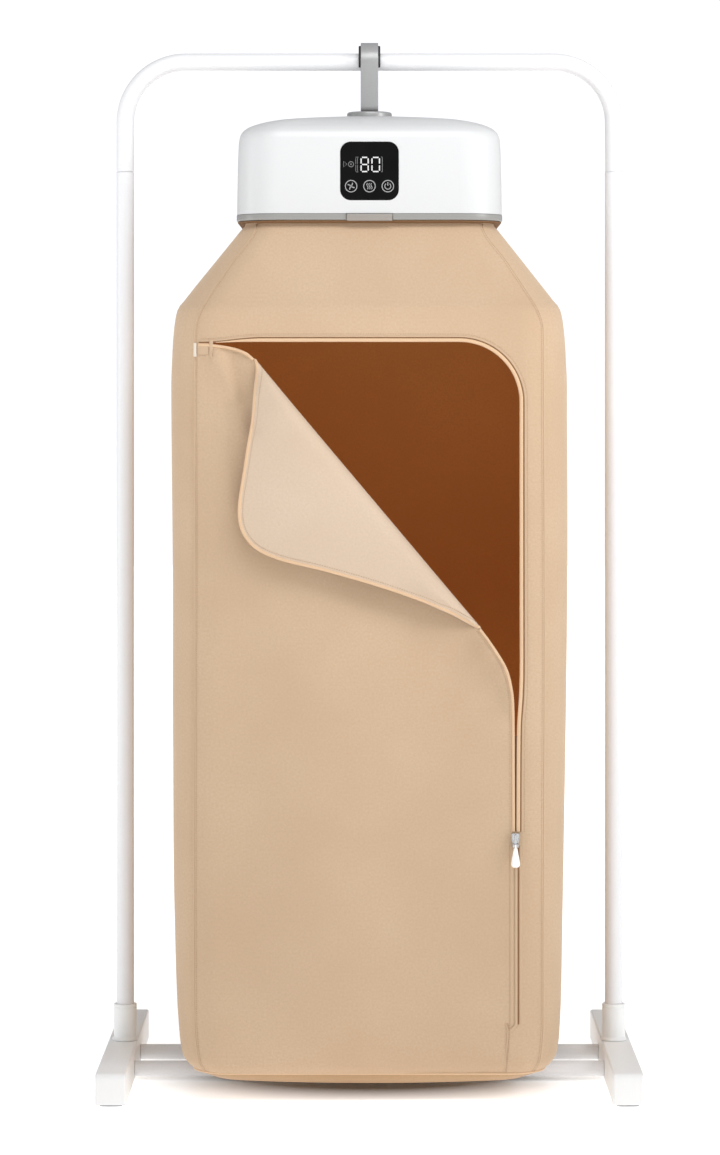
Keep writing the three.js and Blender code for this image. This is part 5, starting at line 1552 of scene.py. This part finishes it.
slider = block((slider_x - slider_half, slider_front, slider_z - slider_half_tall),
               (slider_x + slider_half, slider_back, slider_z + slider_half_tall))
edit(slider, whole=True)
for fall in (0.45, 0.62):  # waist
    bpy.ops.mesh.bisect(plane_co=(0, 0, slider_z + slider_half_tall - 2 * slider_half_tall * fall),
                        plane_no=(0, 0, 1))
    bpy.ops.mesh.select_all(action="SELECT")
pick(slider, "verts", lambda spot, vertex: spot.z < slider_z - slider_half_tall * 0.2)
grow(0.80, 1, 1, (slider_x, 0, slider_z))
pick(slider, "faces", lambda middle, face: face.normal.y < -0.9)
bpy.ops.mesh.inset(thickness=0.0013)
push(0, 0.0006, 0)
close_up(slider, 40)
modify(slider, "BEVEL", width=0.0006, segments=3, limit_method="ANGLE", angle_limit=math.radians(40))
bridge = []
for hand in (-1, 1):
    post_block = block((slider_x + hand * 0.0019, bridge_front, slider_z - 0.0094),
                       (slider_x + hand * 0.0041, slider_front + 0.0008, slider_z - 0.0042))
    modify(post_block, "BEVEL", width=0.0007, segments=3)
    bridge.append(post_block)
bridge.append(rod_between((slider_x - 0.0038, pivot_y, pivot_z),
                          (slider_x + 0.0038, pivot_y, pivot_z), 0.0010, 16))
bridge.append(rod_between((slider_x, rib_y, slider_z + 0.0070), (slider_x, rib_y, slider_z - 0.0020),
                          0.0014, 16))
join(slider, bridge)
smooth(slider, 40)
fit_out(slider, "zip_slider_body", plated, "slider", "zip_metal", "zip_slider")

# Pull: a soft white bulb moulded over a flat tongue with an eye, which turns on the bridge's pin.
pull_rubber = grained(
    "moulded_white_pvc", "#F3F1EE", "#FAF9F7", 1100.0, relief=(0.15, 0.0002),  # 0.9 mm grain
    Roughness=0.42, IOR=1.5, Subsurface_Weight=0.08, Subsurface_Scale=0.002)

bulb = turned("bulb", slider_x, pivot_y, 28, [
    (0.0012, 0.3240), (0.0034, 0.3243), (0.0050, 0.3253), (0.0059, 0.3270), (0.0061, 0.3290),
    (0.0058, 0.3320), (0.0051, 0.3362), (0.0041, 0.3410), (0.0033, 0.3452), (0.0028, 0.3480),
    (0.0029, 0.3488), (0.0028, 0.3497), (0.0020, 0.3502), (0.0008, 0.3503)])
edit(bulb)
bpy.ops.mesh.select_mode(type="VERT")
bpy.ops.mesh.select_all(action="DESELECT")
bpy.ops.mesh.select_non_manifold()
bpy.ops.mesh.edge_face_add()
bpy.ops.mesh.select_all(action="SELECT")
grow(1, 0.55, 1, (slider_x, pivot_y, pivot_z))
close_up(bulb, 50)
tongue_low, tongue_high = 0.3490, 0.3556
tongue_half, tongue_half_thick = 0.0015, 0.0018
tongue = block((slider_x - tongue_half, pivot_y - tongue_half_thick, tongue_low),
               (slider_x + tongue_half, pivot_y + tongue_half_thick, tongue_high))
modify(tongue, "BEVEL", width=0.0008, segments=3)
join(bulb, [tongue])
smooth(bulb, 50)
fit_out(bulb, "zip_pull_bulb", pull_rubber, "pull", "pull_rubber", "zip_pull")
